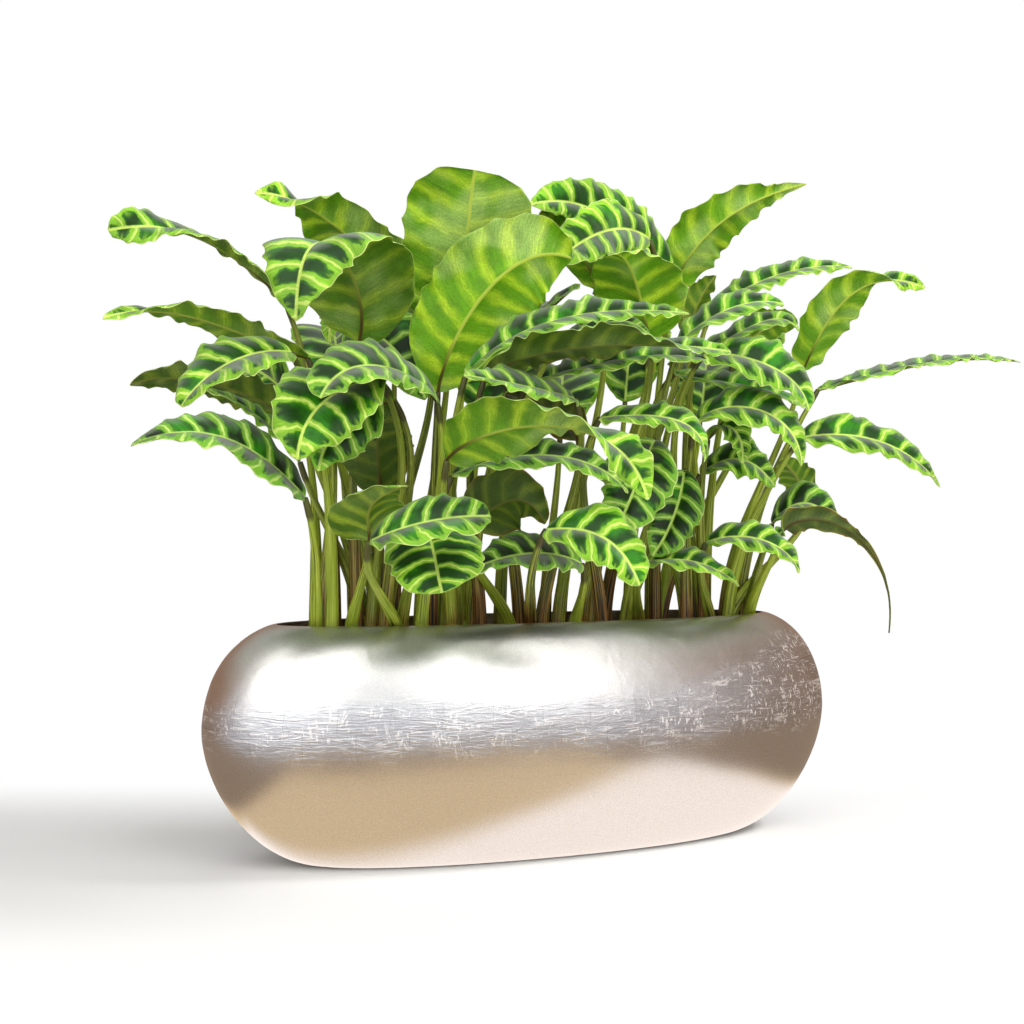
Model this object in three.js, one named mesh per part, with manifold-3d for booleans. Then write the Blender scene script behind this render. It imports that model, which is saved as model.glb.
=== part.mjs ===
// Potted calathea: an oval planter with a silver-leaf skin, the potting soil in it, and the leafy stems of
// several zebra-striped calatheas that stand in plain holes in the soil. Millimetres, +Z up. X runs along
// the planter, its front is at -Y, and the origin is the middle of the planter's underside.
import * as THREE from "three";
import { mergeVertices } from "three/addons/utils/BufferGeometryUtils.js";
import Module from "manifold-3d";

const wasm = await Module();
wasm.setup();

// ---- Driving dimensions -------------------------------------------------------------------------------
const planter = {
  length: 800,
  width: 280,
  height: 275,
  belly: 155, // height at which the body is widest
  floor: 12, // thickness of its floor
  wall: 9,
  lip: 6, // wall thickness at the mouth
  squareness: 2.1, // exponent of the oval in plan, 2 being a true ellipse
  sides: 36,
};
// Above and below the belly the wall curves inwards along a quarter of a superellipse: by `pull` at the ends
// and by `pull * sideShare` at the sides, over the height `reach`, with the exponent `fullness`.
const shoulder = { pull: 111, reach: 124, fullness: 2.1, sideShare: 0.6 };
const foot = { pull: 129, reach: 155, fullness: 1.75, sideShare: 0.5 };
const outerHeights = [0, 10, 35, 85, 155, 205, 240, 262, 275];
const innerHeights = [planter.floor, 65, 155, 210, 240, 275];

const soil = { top: 240, clear: 0.4 };
const stalk = {
  sides: 5,
  bottom: 200, // height of the cut end, which stands in its hole
  baseRadius: 7,
  midRadius: 5,
  collarRadius: 2.8,
  straight: 6, // length above the soil that stays upright
  rooted: 0.4, // share of its rise over which it keeps to the upright
  led: 0.35, // share of its rise over which it turns into its leaf
  lead: { leaf: 0.6, upright: 0.8 }, // its direction there, as so much of the leaf's and so much of up
  steps: 4,
  clear: 0.5, // room round the stalk in its hole
};
const blade = {
  thick: 1.0,
  rowLength: 44, // a row of facets for about every 44 mm of the midrib
  fewestRows: 4,
  mostRows: 7,
  cells: 4,
  baseFullness: 0.55, // exponent of the outline's rise from the collar
  tipFullness: 0.7, // exponent of its fall to the tip
  collarWidth: 5,
  tipWidth: 2,
  arch: 0.12, // bulge of each half, as a share of the half width
  fold: 0.12, // rise of the margins over the midrib, as a share of the half width
  wave: 0.07, // height of the waves at the margins, as a share of the half width
  sunk: 3, // length of its base that is grown into the stalk
  curlFrom: 0.6, // share of the midrib from which the tip rolls
  judged: 0.4, // share of the midrib where it is decided which face is the upper one
};
const nearby = 0.01; // share of the midrib, either way, over which its direction is measured
const exactness = 0.05; // a stem is simplified to within this
const gap = 1.2; // least room between neighbouring stems
const letOut = { step: 8, most: 96 }; // a stem is let out or in by such steps to find that room
const footSteps = [0, 7, -7, 14, -14]; // and its foot goes aside by such steps, in pixels

// The leaves were placed by eye from one standpoint in front of the planter. A place is [across, down, out]:
// the picture point, in pixels of a 1024 px square, at which it is seen from there, and how many millimetres
// it stands in front of the planter's long axis.
const standpoint = { distance: 1800, aside: -26, height: 403, turn: 0.38, focal: 1480, centre: 512 };
const rimDown = 620; // where the mouth of the planter is seen

// Each stem's foot is [across, out], seen at the mouth. A leaf runs from its collar over two places that
// divide its midrib into thirds to its tip. `edge` points from the midrib to the margin that is seen higher,
// as [right, up, near], and `wide` is the width in millimetres. `twist` is the turn in degrees from collar
// to tip and `curl` the roll of the tip in degrees. `fold` and `tail` are a leaf's own fold of the margins
// and exponent of the fall to the tip.
const stems = {
  left_01: {
    foot: [334, -25],
    leaves: [
      { collar: [285, 300, -30], rise: [228, 254, -33], bend: [172, 230, -28], tip: [108, 230, -20],
        edge: [0.1, -0.1, 0.98], wide: 62, twist: -60, curl: -60, tail: 0.4 },
    ],
  },
  left_02: {
    foot: [378, -45],
    leaves: [
      { collar: [425, 318, -45], rise: [375, 262, -20], bend: [318, 214, 0], tip: [255, 193, 10],
        edge: [0.5, 0.6, 0.8], wide: 92, curl: -110, tail: 0.8 },
    ],
  },
  left_03: {
    foot: [356, 5],
    leaves: [
      { collar: [359, 342, 30], rise: [352, 275, 70], bend: [318, 243, 120], tip: [296, 321, 155],
        edge: [1, 0.05, 0], wide: 148, fold: -0.06 },
    ],
  },
  left_04: {
    foot: [322, -5],
    leaves: [
      { collar: [307, 358, 0], rise: [245, 335, 15], bend: [176, 314, 25], tip: [103, 319, 30],
        edge: [0.1, 0.35, 0.9], wide: 62, curl: -70 },
    ],
  },
  left_05: {
    foot: [332, 30],
    leaves: [
      { collar: [292, 353, 70], rise: [255, 354, 95], bend: [215, 372, 115], tip: [182, 407, 125],
        edge: [-0.3, 0.55, -0.75], wide: 80, tail: 0.5 },
    ],
  },
  left_06: {
    foot: [350, -15],
    leaves: [
      { collar: [302, 428, 0], rise: [254, 398, 10], bend: [190, 380, 20], tip: [130, 385, 25],
        edge: [0.2, 0.6, 0.8], wide: 62 },
      { collar: [300, 462, 40], rise: [272, 430, 45], bend: [240, 405, 50], tip: [204, 390, 50],
        edge: [0.1, 0.2, -1], wide: 50 },
    ],
  },
  left_07: {
    foot: [316, 20],
    leaves: [
      { collar: [305, 498, 120], rise: [262, 458, 145], bend: [205, 434, 165], tip: [131, 446, 175],
        edge: [0.1, 0.42, -0.9], wide: 80 },
    ],
  },
  left_08: {
    foot: [421, 50],
    leaves: [
      { collar: [437, 402, 120], rise: [404, 374, 150], bend: [358, 367, 180], tip: [321, 398, 205],
        edge: [-0.2, 0.5, -0.8], wide: 85, curl: -25, tail: 0.5 },
    ],
  },
  left_09: {
    foot: [385, 30],
    leaves: [
      { collar: [378, 378, 120], rise: [343, 390, 140], bend: [312, 415, 160], tip: [297, 460, 175],
        edge: [0.85, 0.2, -0.4], wide: 112 },
      { collar: [395, 402, 85], rise: [360, 412, 105], bend: [332, 436, 122], tip: [318, 471, 135],
        edge: [0.7, 0.4, -0.6], wide: 80 },
    ],
  },
  left_10: {
    foot: [378, -14],
    leaves: [
      { collar: [352, 326, -25], rise: [372, 332, -5], bend: [400, 356, 20], tip: [425, 400, 30],
        edge: [0.6, 0.6, -0.5], wide: 100 },
      { collar: [348, 300, -50], rise: [340, 303, -35], bend: [332, 316, -20], tip: [330, 343, -10],
        edge: [1, 0.2, 0], wide: 36 },
    ],
  },
  left_11: {
    foot: [371, 16],
    leaves: [
      { collar: [381, 493, 10], rise: [378, 460, 25], bend: [380, 428, 35], tip: [396, 398, 45],
        edge: [-0.9, 0, 0.3], wide: 88 },
    ],
  },
  left_12: {
    foot: [350, 36],
    leaves: [
      { collar: [369, 541, 95], rise: [368, 522, 115], bend: [374, 503, 140], tip: [408, 486, 170],
        edge: [-1, -0.25, 0.2], wide: 88 },
    ],
  },
  left_13: {
    foot: [400, 40],
    leaves: [
      { collar: [370, 542, 205], rise: [405, 528, 230], bend: [447, 519, 250], tip: [491, 517, 260],
        edge: [0.1, 0.6, -0.75], wide: 78, tail: 0.45 },
      { collar: [425, 528, 150], rise: [432, 546, 180], bend: [437, 570, 200], tip: [442, 593, 210],
        edge: [1, 0.1, -0.2], wide: 108, tail: 0.5 },
    ],
  },
  centre_01: {
    foot: [440, -40],
    leaves: [
      { collar: [462, 372, 0], rise: [464, 300, 15], bend: [468, 230, 35], tip: [475, 170, 60],
        edge: [-1, 0.14, 0], wide: 156, fold: 0.02, tail: 0.32 },
    ],
  },
  centre_02: {
    foot: [432, 5],
    leaves: [
      { collar: [438, 392, 40], rise: [463, 325, 70], bend: [512, 268, 100], tip: [572, 259, 130],
        edge: [-0.75, 0.6, 0.2], wide: 128, tail: 0.55 },
    ],
  },
  centre_03: {
    foot: [470, -45],
    leaves: [
      { collar: [510, 372, -10], rise: [530, 335, 10], bend: [552, 308, 20], tip: [580, 284, 25],
        edge: [0.5, 0.6, -0.5], wide: 76 },
    ],
  },
  centre_04: {
    foot: [605, -60],
    leaves: [
      { collar: [672, 268, -60], rise: [633, 237, -50], bend: [588, 208, -40], tip: [530, 205, -30],
        edge: [0.3, 0.75, -0.5], wide: 98 },
    ],
  },
  centre_05: {
    foot: [590, -25],
    leaves: [
      { collar: [650, 240, -10], rise: [617, 229, 20], bend: [582, 242, 50], tip: [550, 268, 65],
        edge: [0.3, 0.75, -0.6], wide: 76 },
    ],
  },
  centre_06: {
    foot: [580, 5],
    leaves: [
      { collar: [650, 340, 20], rise: [642, 306, 40], bend: [632, 272, 70], tip: [616, 254, 110],
        edge: [0.9, 0, 0.2], wide: 116 },
    ],
  },
  centre_07: {
    foot: [462, -5],
    leaves: [
      { collar: [466, 375, 75], rise: [525, 332, 95], bend: [600, 313, 115], tip: [689, 314, 130],
        edge: [0, 0.5, -0.85], wide: 78 },
      { collar: [556, 344, 55], rise: [590, 329, 68], bend: [622, 322, 78], tip: [650, 337, 84],
        edge: [0.2, 0.5, -0.8], wide: 50 },
    ],
  },
  centre_08: {
    foot: [480, 25],
    leaves: [
      { collar: [484, 380, 130], rise: [540, 354, 160], bend: [630, 345, 185], tip: [731, 352, 195],
        edge: [0, 0.35, 0.93], wide: 84, curl: 75 },
    ],
  },
  centre_09: {
    foot: [520, 0],
    leaves: [
      { collar: [530, 382, 50], rise: [590, 367, 65], bend: [655, 357, 75], tip: [718, 364, 80],
        edge: [0, 0.35, -0.9], wide: 84 },
    ],
  },
  centre_10: {
    foot: [540, 35],
    leaves: [
      { collar: [575, 399, 110], rise: [540, 390, 140], bend: [500, 382, 160], tip: [464, 376, 170],
        edge: [0, 0.4, -0.9], wide: 66 },
    ],
  },
  centre_11: {
    foot: [452, 48],
    leaves: [
      { collar: [447, 460, 150], rise: [505, 430, 215], bend: [590, 434, 262], tip: [648, 500, 285],
        edge: [-0.3, 0.35, 0.85], wide: 90, twist: 110, curl: 30 },
      { collar: [452, 476, 100], rise: [510, 458, 125], bend: [575, 460, 145], tip: [628, 493, 155],
        edge: [0.2, 0.5, -0.8], wide: 66 },
    ],
  },
  centre_12: {
    foot: [498, 20],
    leaves: [
      { collar: [470, 524, 70], rise: [494, 508, 90], bend: [520, 500, 110], tip: [545, 524, 120],
        edge: [-0.2, 0.9, 0.4], wide: 84 },
    ],
  },
  centre_13: {
    foot: [572, 35],
    leaves: [
      { collar: [582, 564, 75], rise: [546, 554, 100], bend: [505, 558, 120], tip: [464, 575, 130],
        edge: [0.1, 0.45, -0.85], wide: 70 },
    ],
  },
  centre_14: {
    foot: [537, 45],
    leaves: [
      { collar: [546, 530, 160], rise: [578, 530, 190], bend: [612, 544, 210], tip: [639, 586, 220],
        edge: [0.5, 0.65, -0.55], wide: 76, tail: 0.5 },
    ],
  },
  centre_15: {
    foot: [640, 30],
    leaves: [
      { collar: [645, 562, 80], rise: [675, 560, 105], bend: [706, 566, 125], tip: [739, 586, 135],
        edge: [0.2, 0.4, -0.9], wide: 62 },
    ],
  },
  centre_16: {
    foot: [624, 10],
    leaves: [
      { collar: [655, 440, 110], rise: [642, 470, 135], bend: [630, 500, 150], tip: [614, 533, 155],
        edge: [1, 0.2, -0.2], wide: 88 },
      { collar: [684, 470, 65], rise: [679, 500, 80], bend: [668, 530, 92], tip: [652, 556, 95],
        edge: [1, 0.2, -0.2], wide: 66 },
    ],
  },
  centre_17: {
    foot: [602, 40],
    leaves: [
      { collar: [600, 418, 130], rise: [642, 416, 165], bend: [686, 425, 190], tip: [704, 462, 200],
        edge: [0.3, 0.5, -0.75], wide: 56 },
    ],
  },
  centre_18: {
    foot: [560, -50],
    leaves: [
      { collar: [600, 290, -70], rise: [578, 250, -60], bend: [558, 226, -50], tip: [540, 212, -40],
        edge: [0.6, 0.6, 0.4], wide: 60 },
    ],
  },
  centre_19: {
    foot: [557, 0],
    leaves: [
      { collar: [578, 440, 20], rise: [560, 418, 40], bend: [535, 402, 60], tip: [505, 394, 70],
        edge: [0.2, 0.6, 0.6], wide: 66 },
    ],
  },
  right_01: {
    foot: [650, -55],
    leaves: [
      { collar: [672, 290, -70], rise: [698, 245, -45], bend: [741, 209, -25], tip: [806, 184, -10],
        edge: [-0.6, 0.55, 0.75], wide: 100, tail: 1.1 },
    ],
  },
  right_02: {
    foot: [690, -45],
    leaves: [
      { collar: [712, 310, -30], rise: [752, 286, -22], bend: [800, 270, -12], tip: [852, 268, 0],
        edge: [0, 0.5, -0.85], wide: 68 },
    ],
  },
  right_03: {
    foot: [655, 0],
    leaves: [
      { collar: [680, 342, 75], rise: [712, 318, 90], bend: [748, 304, 105], tip: [784, 305, 115],
        edge: [0.1, 0.55, -0.8], wide: 76 },
      { collar: [700, 352, 20], rise: [738, 334, 35], bend: [772, 320, 45], tip: [799, 331, 50],
        edge: [0.2, 0.5, -0.8], wide: 60 },
    ],
  },
  right_04: {
    foot: [705, -30],
    leaves: [
      { collar: [733, 362, -10], rise: [750, 340, 0], bend: [772, 326, 10], tip: [798, 324, 20],
        edge: [-0.3, 0.6, 0.5], wide: 66 },
      { collar: [690, 335, -60], rise: [694, 315, -55], bend: [702, 296, -50], tip: [716, 276, -45],
        edge: [0.7, 0.4, -0.4], wide: 60 },
    ],
  },
  right_05: {
    foot: [724, -24],
    leaves: [
      { collar: [803, 370, -60], rise: [824, 328, -30], bend: [862, 288, 5], tip: [925, 288, 35],
        edge: [-0.6, 0.5, 0.6], wide: 82, curl: 110 },
    ],
  },
  right_06: {
    foot: [738, -5],
    leaves: [
      { collar: [818, 390, -10], rise: [884, 373, 0], bend: [952, 361, 5], tip: [1020, 362, 10],
        edge: [0, 0.25, -0.95], wide: 62 },
    ],
  },
  right_07: {
    foot: [672, 20],
    leaves: [
      { collar: [705, 352, 150], rise: [745, 358, 180], bend: [786, 376, 200], tip: [808, 411, 210],
        edge: [0.4, 0.6, -0.65], wide: 84 },
      { collar: [674, 374, 100], rise: [718, 382, 120], bend: [762, 390, 135], tip: [804, 408, 145],
        edge: [0.1, 0.4, -0.9], wide: 70 },
    ],
  },
  right_08: {
    foot: [727, 15],
    leaves: [
      { collar: [800, 438, 20], rise: [838, 435, 40], bend: [890, 446, 60], tip: [940, 487, 70],
        edge: [0.15, 0.6, -0.7], wide: 76 },
      { collar: [808, 500, -20], rise: [801, 485, -10], bend: [792, 471, 0], tip: [780, 460, 10],
        edge: [0.8, 0.4, 0.3], wide: 50 },
    ],
  },
  right_09: {
    foot: [686, 35],
    leaves: [
      { collar: [693, 430, 120], rise: [726, 408, 150], bend: [775, 418, 180], tip: [801, 466, 195],
        edge: [0.4, 0.6, -0.6], wide: 72 },
    ],
  },
  right_10: {
    foot: [703, 0],
    leaves: [
      { collar: [700, 474, 10], rise: [728, 460, 30], bend: [752, 464, 45], tip: [775, 487, 50],
        edge: [0.4, 0.6, -0.6], wide: 72 },
      { collar: [708, 440, 55], rise: [724, 426, 75], bend: [738, 436, 85], tip: [742, 463, 90],
        edge: [0.8, 0.4, -0.4], wide: 44 },
    ],
  },
  right_11: {
    foot: [740, 12],
    leaves: [
      { collar: [772, 524, 20], rise: [793, 506, 35], bend: [815, 506, 48], tip: [838, 528, 58],
        edge: [0.4, 0.6, -0.6], wide: 76 },
      { collar: [780, 535, 70], rise: [822, 520, 90], bend: [872, 553, 105], tip: [889, 633, 110],
        edge: [0.6, 0.7, 0.3], wide: 44, tail: 3 },
    ],
  },
  right_12: {
    foot: [712, 38],
    leaves: [
      { collar: [706, 543, 110], rise: [740, 537, 135], bend: [775, 546, 155], tip: [799, 573, 165],
        edge: [0.2, 0.5, -0.8], wide: 66 },
    ],
  },
  back_01: {
    foot: [340, -32],
    leaves: [
      { collar: [340, 402, -80], rise: [336, 346, -125], bend: [330, 332, -185], tip: [322, 372, -235],
        edge: [1, 0.1, 0], wide: 110 },
    ],
  },
  back_02: {
    foot: [388, -52],
    leaves: [
      { collar: [395, 362, -80], rise: [398, 302, -115], bend: [395, 278, -170], tip: [385, 302, -230],
        edge: [1, -0.1, 0.2], wide: 118 },
    ],
  },
  back_03: {
    foot: [420, -60],
    leaves: [
      { collar: [450, 332, -90], rise: [455, 254, -120], bend: [460, 228, -180], tip: [465, 254, -240],
        edge: [1, 0, 0], wide: 120 },
    ],
  },
  back_04: {
    foot: [458, -64],
    leaves: [
      { collar: [480, 412, -90], rise: [485, 366, -130], bend: [490, 352, -190], tip: [495, 392, -240],
        edge: [1, 0.1, -0.2], wide: 112 },
    ],
  },
  back_05: {
    foot: [500, -64],
    leaves: [
      { collar: [520, 372, -85], rise: [525, 332, -120], bend: [526, 312, -180], tip: [518, 334, -240],
        edge: [1, 0.2, 0], wide: 88 },
    ],
  },
  back_06: {
    foot: [545, -64],
    leaves: [
      { collar: [560, 432, -80], rise: [562, 388, -120], bend: [565, 372, -185], tip: [570, 412, -240],
        edge: [1, -0.1, 0.1], wide: 108 },
    ],
  },
  back_07: {
    foot: [590, -64],
    leaves: [
      { collar: [625, 402, -90], rise: [630, 348, -130], bend: [635, 328, -190], tip: [640, 352, -245],
        edge: [1, 0, -0.1], wide: 108 },
    ],
  },
  back_08: {
    foot: [628, -62],
    leaves: [
      { collar: [648, 350, -95], rise: [648, 292, -130], bend: [645, 272, -185], tip: [640, 296, -240],
        edge: [1, 0.1, 0.1], wide: 84 },
    ],
  },
  back_09: {
    foot: [668, -50],
    leaves: [
      { collar: [700, 422, -85], rise: [705, 378, -125], bend: [708, 360, -190], tip: [712, 398, -245],
        edge: [1, 0.1, 0], wide: 108 },
      { collar: [752, 392, -85], rise: [756, 348, -115], bend: [756, 330, -170], tip: [752, 356, -225],
        edge: [1, 0, 0.1], wide: 80 },
    ],
  },
  back_10: {
    foot: [322, -22],
    leaves: [
      { collar: [296, 402, -55], rise: [264, 374, -95], bend: [242, 372, -145], tip: [226, 397, -195],
        edge: [0.7, 0.3, 0.5], wide: 80 },
    ],
  },
};

// ---- Small tools --------------------------------------------------------------------------------------
const up = new THREE.Vector3(0, 0, 1);
const right = new THREE.Vector3(Math.cos(standpoint.turn), -Math.sin(standpoint.turn), 0);
const ahead = new THREE.Vector3(Math.sin(standpoint.turn), Math.cos(standpoint.turn), 0);
const eye = new THREE.Vector3(0, 0, standpoint.height)
  .addScaledVector(right, standpoint.aside)
  .addScaledVector(ahead, -standpoint.distance);

// The line of sight through a picture point meets the upright plane that stands `out` before the long axis.
function place([across, down, out]) {
  const ray = ahead
    .clone()
    .addScaledVector(right, (across - standpoint.centre) / standpoint.focal)
    .addScaledVector(up, (standpoint.centre - down) / standpoint.focal);
  return eye.clone().addScaledVector(ray, (-out - eye.y) / ray.y);
}

function sight([rightwards, upwards, near]) {
  return new THREE.Vector3()
    .addScaledVector(right, rightwards)
    .addScaledVector(up, upwards)
    .addScaledVector(ahead, -near)
    .normalize();
}

// What is left of a direction square to another one.
function square(direction, to) {
  return direction.clone().addScaledVector(to, -direction.dot(to)).normalize();
}

function solidOf(points, faces) {
  return new wasm.Manifold(
    new wasm.Mesh({
      numProp: 3,
      vertProperties: new Float32Array(points.flatMap((point) => point.toArray())),
      triVerts: new Uint32Array(faces.flat()),
    })
  );
}

function meshOf(name, solid, material) {
  const mesh = solid.getMesh();
  const geometry = new THREE.BufferGeometry();
  geometry.setAttribute("position", new THREE.BufferAttribute(mesh.vertProperties, 3));
  geometry.setIndex(new THREE.BufferAttribute(mesh.triVerts, 1));
  const result = new THREE.Mesh(mergeVertices(geometry), material);
  result.name = name;
  return result;
}

// A closed skin over rings of equal count, the first and the last ring being capped.
function skin(rings) {
  const count = rings[0].length;
  const faces = [];
  for (let row = 0; row + 1 < rings.length; row++) {
    for (let i = 0; i < count; i++) {
      const a = row * count + i;
      const b = row * count + ((i + 1) % count);
      faces.push([a, b, b + count], [a, b + count, a + count]);
    }
  }
  const last = (rings.length - 1) * count;
  for (let i = 1; i + 1 < count; i++) {
    faces.push([0, i + 1, i], [last, last + i, last + i + 1]);
  }
  return solidOf(rings.flat(), faces);
}

// ---- Planter and soil ---------------------------------------------------------------------------------
function planterRing(height, inset) {
  const part = height > planter.belly ? shoulder : foot;
  const share = Math.min(1, Math.abs(height - planter.belly) / part.reach);
  const pull = part.pull * (1 - (1 - share ** part.fullness) ** (1 / part.fullness));
  const long = planter.length / 2 - pull - inset;
  const short = planter.width / 2 - pull * part.sideShare - inset;
  const ring = [];
  for (let i = 0; i < planter.sides; i++) {
    const angle = (2 * Math.PI * i) / planter.sides;
    const bow = (value) => Math.sign(value) * Math.abs(value) ** (2 / planter.squareness);
    ring.push(new THREE.Vector3(long * bow(Math.cos(angle)), short * bow(Math.sin(angle)), height));
  }
  return ring;
}

function wallAt(height) {
  const share = Math.max(0, (height - soil.top) / (planter.height - soil.top));
  return planter.wall + (planter.lip - planter.wall) * share;
}

function planterBody() {
  const outside = outerHeights.map((height) => planterRing(height, 0));
  const inside = innerHeights.map((height) => planterRing(height, wallAt(height)));
  const mouth = inside[inside.length - 1].map((point) => point.clone().setZ(planter.height + 1));
  return skin(outside).subtract(skin([...inside, mouth]));
}

function soilBody(holes) {
  const heights = innerHeights.filter((height) => height <= soil.top);
  const rings = heights.map((height) => planterRing(height, planter.wall + soil.clear));
  rings[0].forEach((point) => (point.z += soil.clear));
  return holes.reduce((body, hole) => body.subtract(hole), skin(rings));
}

// ---- Stalks -------------------------------------------------------------------------------------------
function circle(centre, radius, first, second) {
  return Array.from({ length: stalk.sides }, (_, i) => {
    const angle = (2 * Math.PI * i) / stalk.sides;
    return centre
      .clone()
      .addScaledVector(first, radius * Math.cos(angle))
      .addScaledVector(second, radius * Math.sin(angle));
  });
}

const uprightRing = (centre, radius) => circle(centre, radius, right, ahead);

// The stalk leaves the soil upright, swings over to its collar and runs a little way along the midrib.
function stalkBody(base, leaf) {
  const start = base.clone().setZ(soil.top + stalk.straight);
  const end = leaf.midrib(0);
  const rise = end.z - start.z;
  const lead = leaf.along(0).multiplyScalar(stalk.lead.leaf).addScaledVector(up, stalk.lead.upright);
  lead.normalize();
  const curve = new THREE.CubicBezierCurve3(
    start,
    start.clone().addScaledVector(up, stalk.rooted * rise),
    end.clone().addScaledVector(lead, -stalk.led * rise),
    end
  );
  const rings = [
    uprightRing(base.clone().setZ(stalk.bottom), stalk.baseRadius),
    uprightRing(start, stalk.baseRadius),
  ];
  for (let i = 1; i <= stalk.steps; i++) {
    const share = i / stalk.steps;
    const low = THREE.MathUtils.lerp(stalk.baseRadius, stalk.midRadius, Math.min(1, 2 * share));
    const radius = THREE.MathUtils.lerp(low, stalk.collarRadius, Math.max(0, 2 * share - 1));
    const run = curve.getTangent(share);
    const first = square(right, run);
    rings.push(circle(curve.getPoint(share), radius, first, run.clone().cross(first)));
  }
  return skin(rings);
}

// ---- Blades -------------------------------------------------------------------------------------------
// The outline rises from the collar as one power of the share along the midrib and falls to the tip as
// another.
function halfWidth(wide, share, fall) {
  const { baseFullness: rise, collarWidth, tipWidth } = blade;
  const widest = rise / (rise + fall);
  const shape = (s) => s ** rise * (1 - s) ** fall;
  const least = THREE.MathUtils.lerp(collarWidth, tipWidth, share) / 2;
  return least + (wide / 2 - least) * (shape(share) / shape(widest));
}

// A leaf's midrib is the cubic through its four places.
function leafOf(leaf, shift) {
  const { collar, rise, bend, tip, edge, wide, twist = 0, curl = 0 } = leaf;
  const { fold = blade.fold, tail = blade.tipFullness } = leaf;
  const knots = [collar, rise, bend, tip].map(([across, down, out]) => place([across, down, out + shift]));
  const midrib = (s) => {
    const weights = [
      -4.5 * (s - 1 / 3) * (s - 2 / 3) * (s - 1),
      13.5 * s * (s - 2 / 3) * (s - 1),
      -13.5 * s * (s - 1 / 3) * (s - 1),
      4.5 * s * (s - 1 / 3) * (s - 2 / 3),
    ];
    return knots.reduce((sum, knot, i) => sum.addScaledVector(knot, weights[i]), new THREE.Vector3());
  };
  const along = (s) => midrib(s + nearby).sub(midrib(s - nearby)).normalize();
  const chord = knots.slice(1).reduce((sum, knot, i) => sum + knot.distanceTo(knots[i]), 0);
  const rows = THREE.MathUtils.clamp(Math.round(chord / blade.rowLength), blade.fewestRows, blade.mostRows);
  const root = along(0).multiplyScalar(-blade.sunk);
  const seenHigher = sight(edge);
  const frame = (s) => {
    const run = along(s);
    const angle = THREE.MathUtils.degToRad(
      twist * (s - 0.5) + curl * THREE.MathUtils.smoothstep(s, blade.curlFrom, 1)
    );
    const across = square(seenHigher, run).applyAxisAngle(run, angle);
    return { across, upper: run.clone().cross(across) };
  };
  const sign = Math.sign(frame(blade.judged).upper.z);
  const point = (s, t, lift) => {
    const { across, upper } = frame(s);
    const half = halfWidth(wide, s, tail);
    const wave = blade.wave * Math.cos(Math.PI * rows * s) * t * Math.abs(t);
    const rise = half * (blade.arch * 4 * Math.abs(t) * (1 - Math.abs(t)) + fold * Math.abs(t) + wave);
    return midrib(s)
      .addScaledVector(root, s === 0 ? 1 : 0)
      .addScaledVector(across, half * t)
      .addScaledVector(upper, sign * (rise + lift));
  };
  return { midrib, along, point, rows, sign };
}

function bladeBody(leaf) {
  const points = [];
  for (const lift of [blade.thick / 2, -blade.thick / 2]) {
    for (let row = 0; row <= leaf.rows; row++) {
      for (let cell = 0; cell <= blade.cells; cell++) {
        points.push(leaf.point(row / leaf.rows, (2 * cell) / blade.cells - 1, lift));
      }
    }
  }
  const under = (leaf.rows + 1) * (blade.cells + 1);
  const at = (row, cell) => row * (blade.cells + 1) + cell;
  const faces = [];
  const wall = (a, b) => faces.push([a, b, b + under], [a, b + under, a + under]);
  for (let row = 0; row < leaf.rows; row++) {
    for (let cell = 0; cell < blade.cells; cell++) {
      const [a, b] = [at(row, cell), at(row, cell + 1)];
      const [c, d] = [at(row + 1, cell + 1), at(row + 1, cell)];
      faces.push([a, c, b], [a, d, c]);
      faces.push([a + under, b + under, c + under], [a + under, c + under, d + under]);
    }
    wall(at(row + 1, 0), at(row, 0));
    wall(at(row, blade.cells), at(row + 1, blade.cells));
  }
  for (let cell = 0; cell < blade.cells; cell++) {
    wall(at(0, cell), at(0, cell + 1));
    wall(at(leaf.rows, cell + 1), at(leaf.rows, cell));
  }
  if (leaf.sign < 0) {
    faces.forEach((face) => face.reverse());
  }
  return solidOf(points, faces);
}

// ---- Stems --------------------------------------------------------------------------------------------
function stemBody({ foot: [across, out], leaves }, shift, aside) {
  const base = place([across + aside, rimDown, out]);
  return leaves.reduce((body, entry) => {
    const leaf = leafOf(entry, shift);
    const solid = stalkBody(base, leaf).add(bladeBody(leaf));
    return body ? body.add(solid) : solid;
  }, null).simplify(exactness);
}

function holeFor({ foot: [across, out] }, aside) {
  const base = place([across + aside, rimDown, out]);
  const radius = stalk.baseRadius + stalk.clear / Math.cos(Math.PI / stalk.sides);
  return skin([
    uprightRing(base.clone().setZ(stalk.bottom - stalk.clear), radius),
    uprightRing(base.clone().setZ(soil.top + 1), radius),
  ]);
}

// Steps outwards and inwards, the nearest first.
function shifts() {
  const list = [0];
  for (let step = letOut.step; step <= letOut.most; step += letOut.step) {
    list.push(step, -step);
  }
  return list;
}

function apart(a, b) {
  const [one, two] = [a.boundingBox(), b.boundingBox()];
  const clear = [0, 1, 2].some((i) => one.min[i] > two.max[i] + gap || two.min[i] > one.max[i] + gap);
  return clear || a.minGap(b, gap) >= gap;
}

// A stem takes the first place, counted from its own, where it stands clear of all that stands already.
function roomFor(stem, standing) {
  for (const shift of shifts()) {
    for (const aside of footSteps) {
      const body = stemBody(stem, shift, aside);
      if (standing.every((other) => apart(body, other))) {
        return { body, aside };
      }
    }
  }
  throw new Error(`no room for the stem whose foot is at ${stem.foot}`);
}

// ---- Materials ----------------------------------------------------------------------------------------
const silverLeaf = new THREE.MeshStandardMaterial({ color: 0xc9c6c2, roughness: 0.3, metalness: 0.9 });
const pottingSoil = new THREE.MeshStandardMaterial({ color: 0x3a2a1e, roughness: 0.95, metalness: 0 });
const leafGreen = new THREE.MeshStandardMaterial({ color: 0x4f8a35, roughness: 0.45, metalness: 0 });

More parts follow.
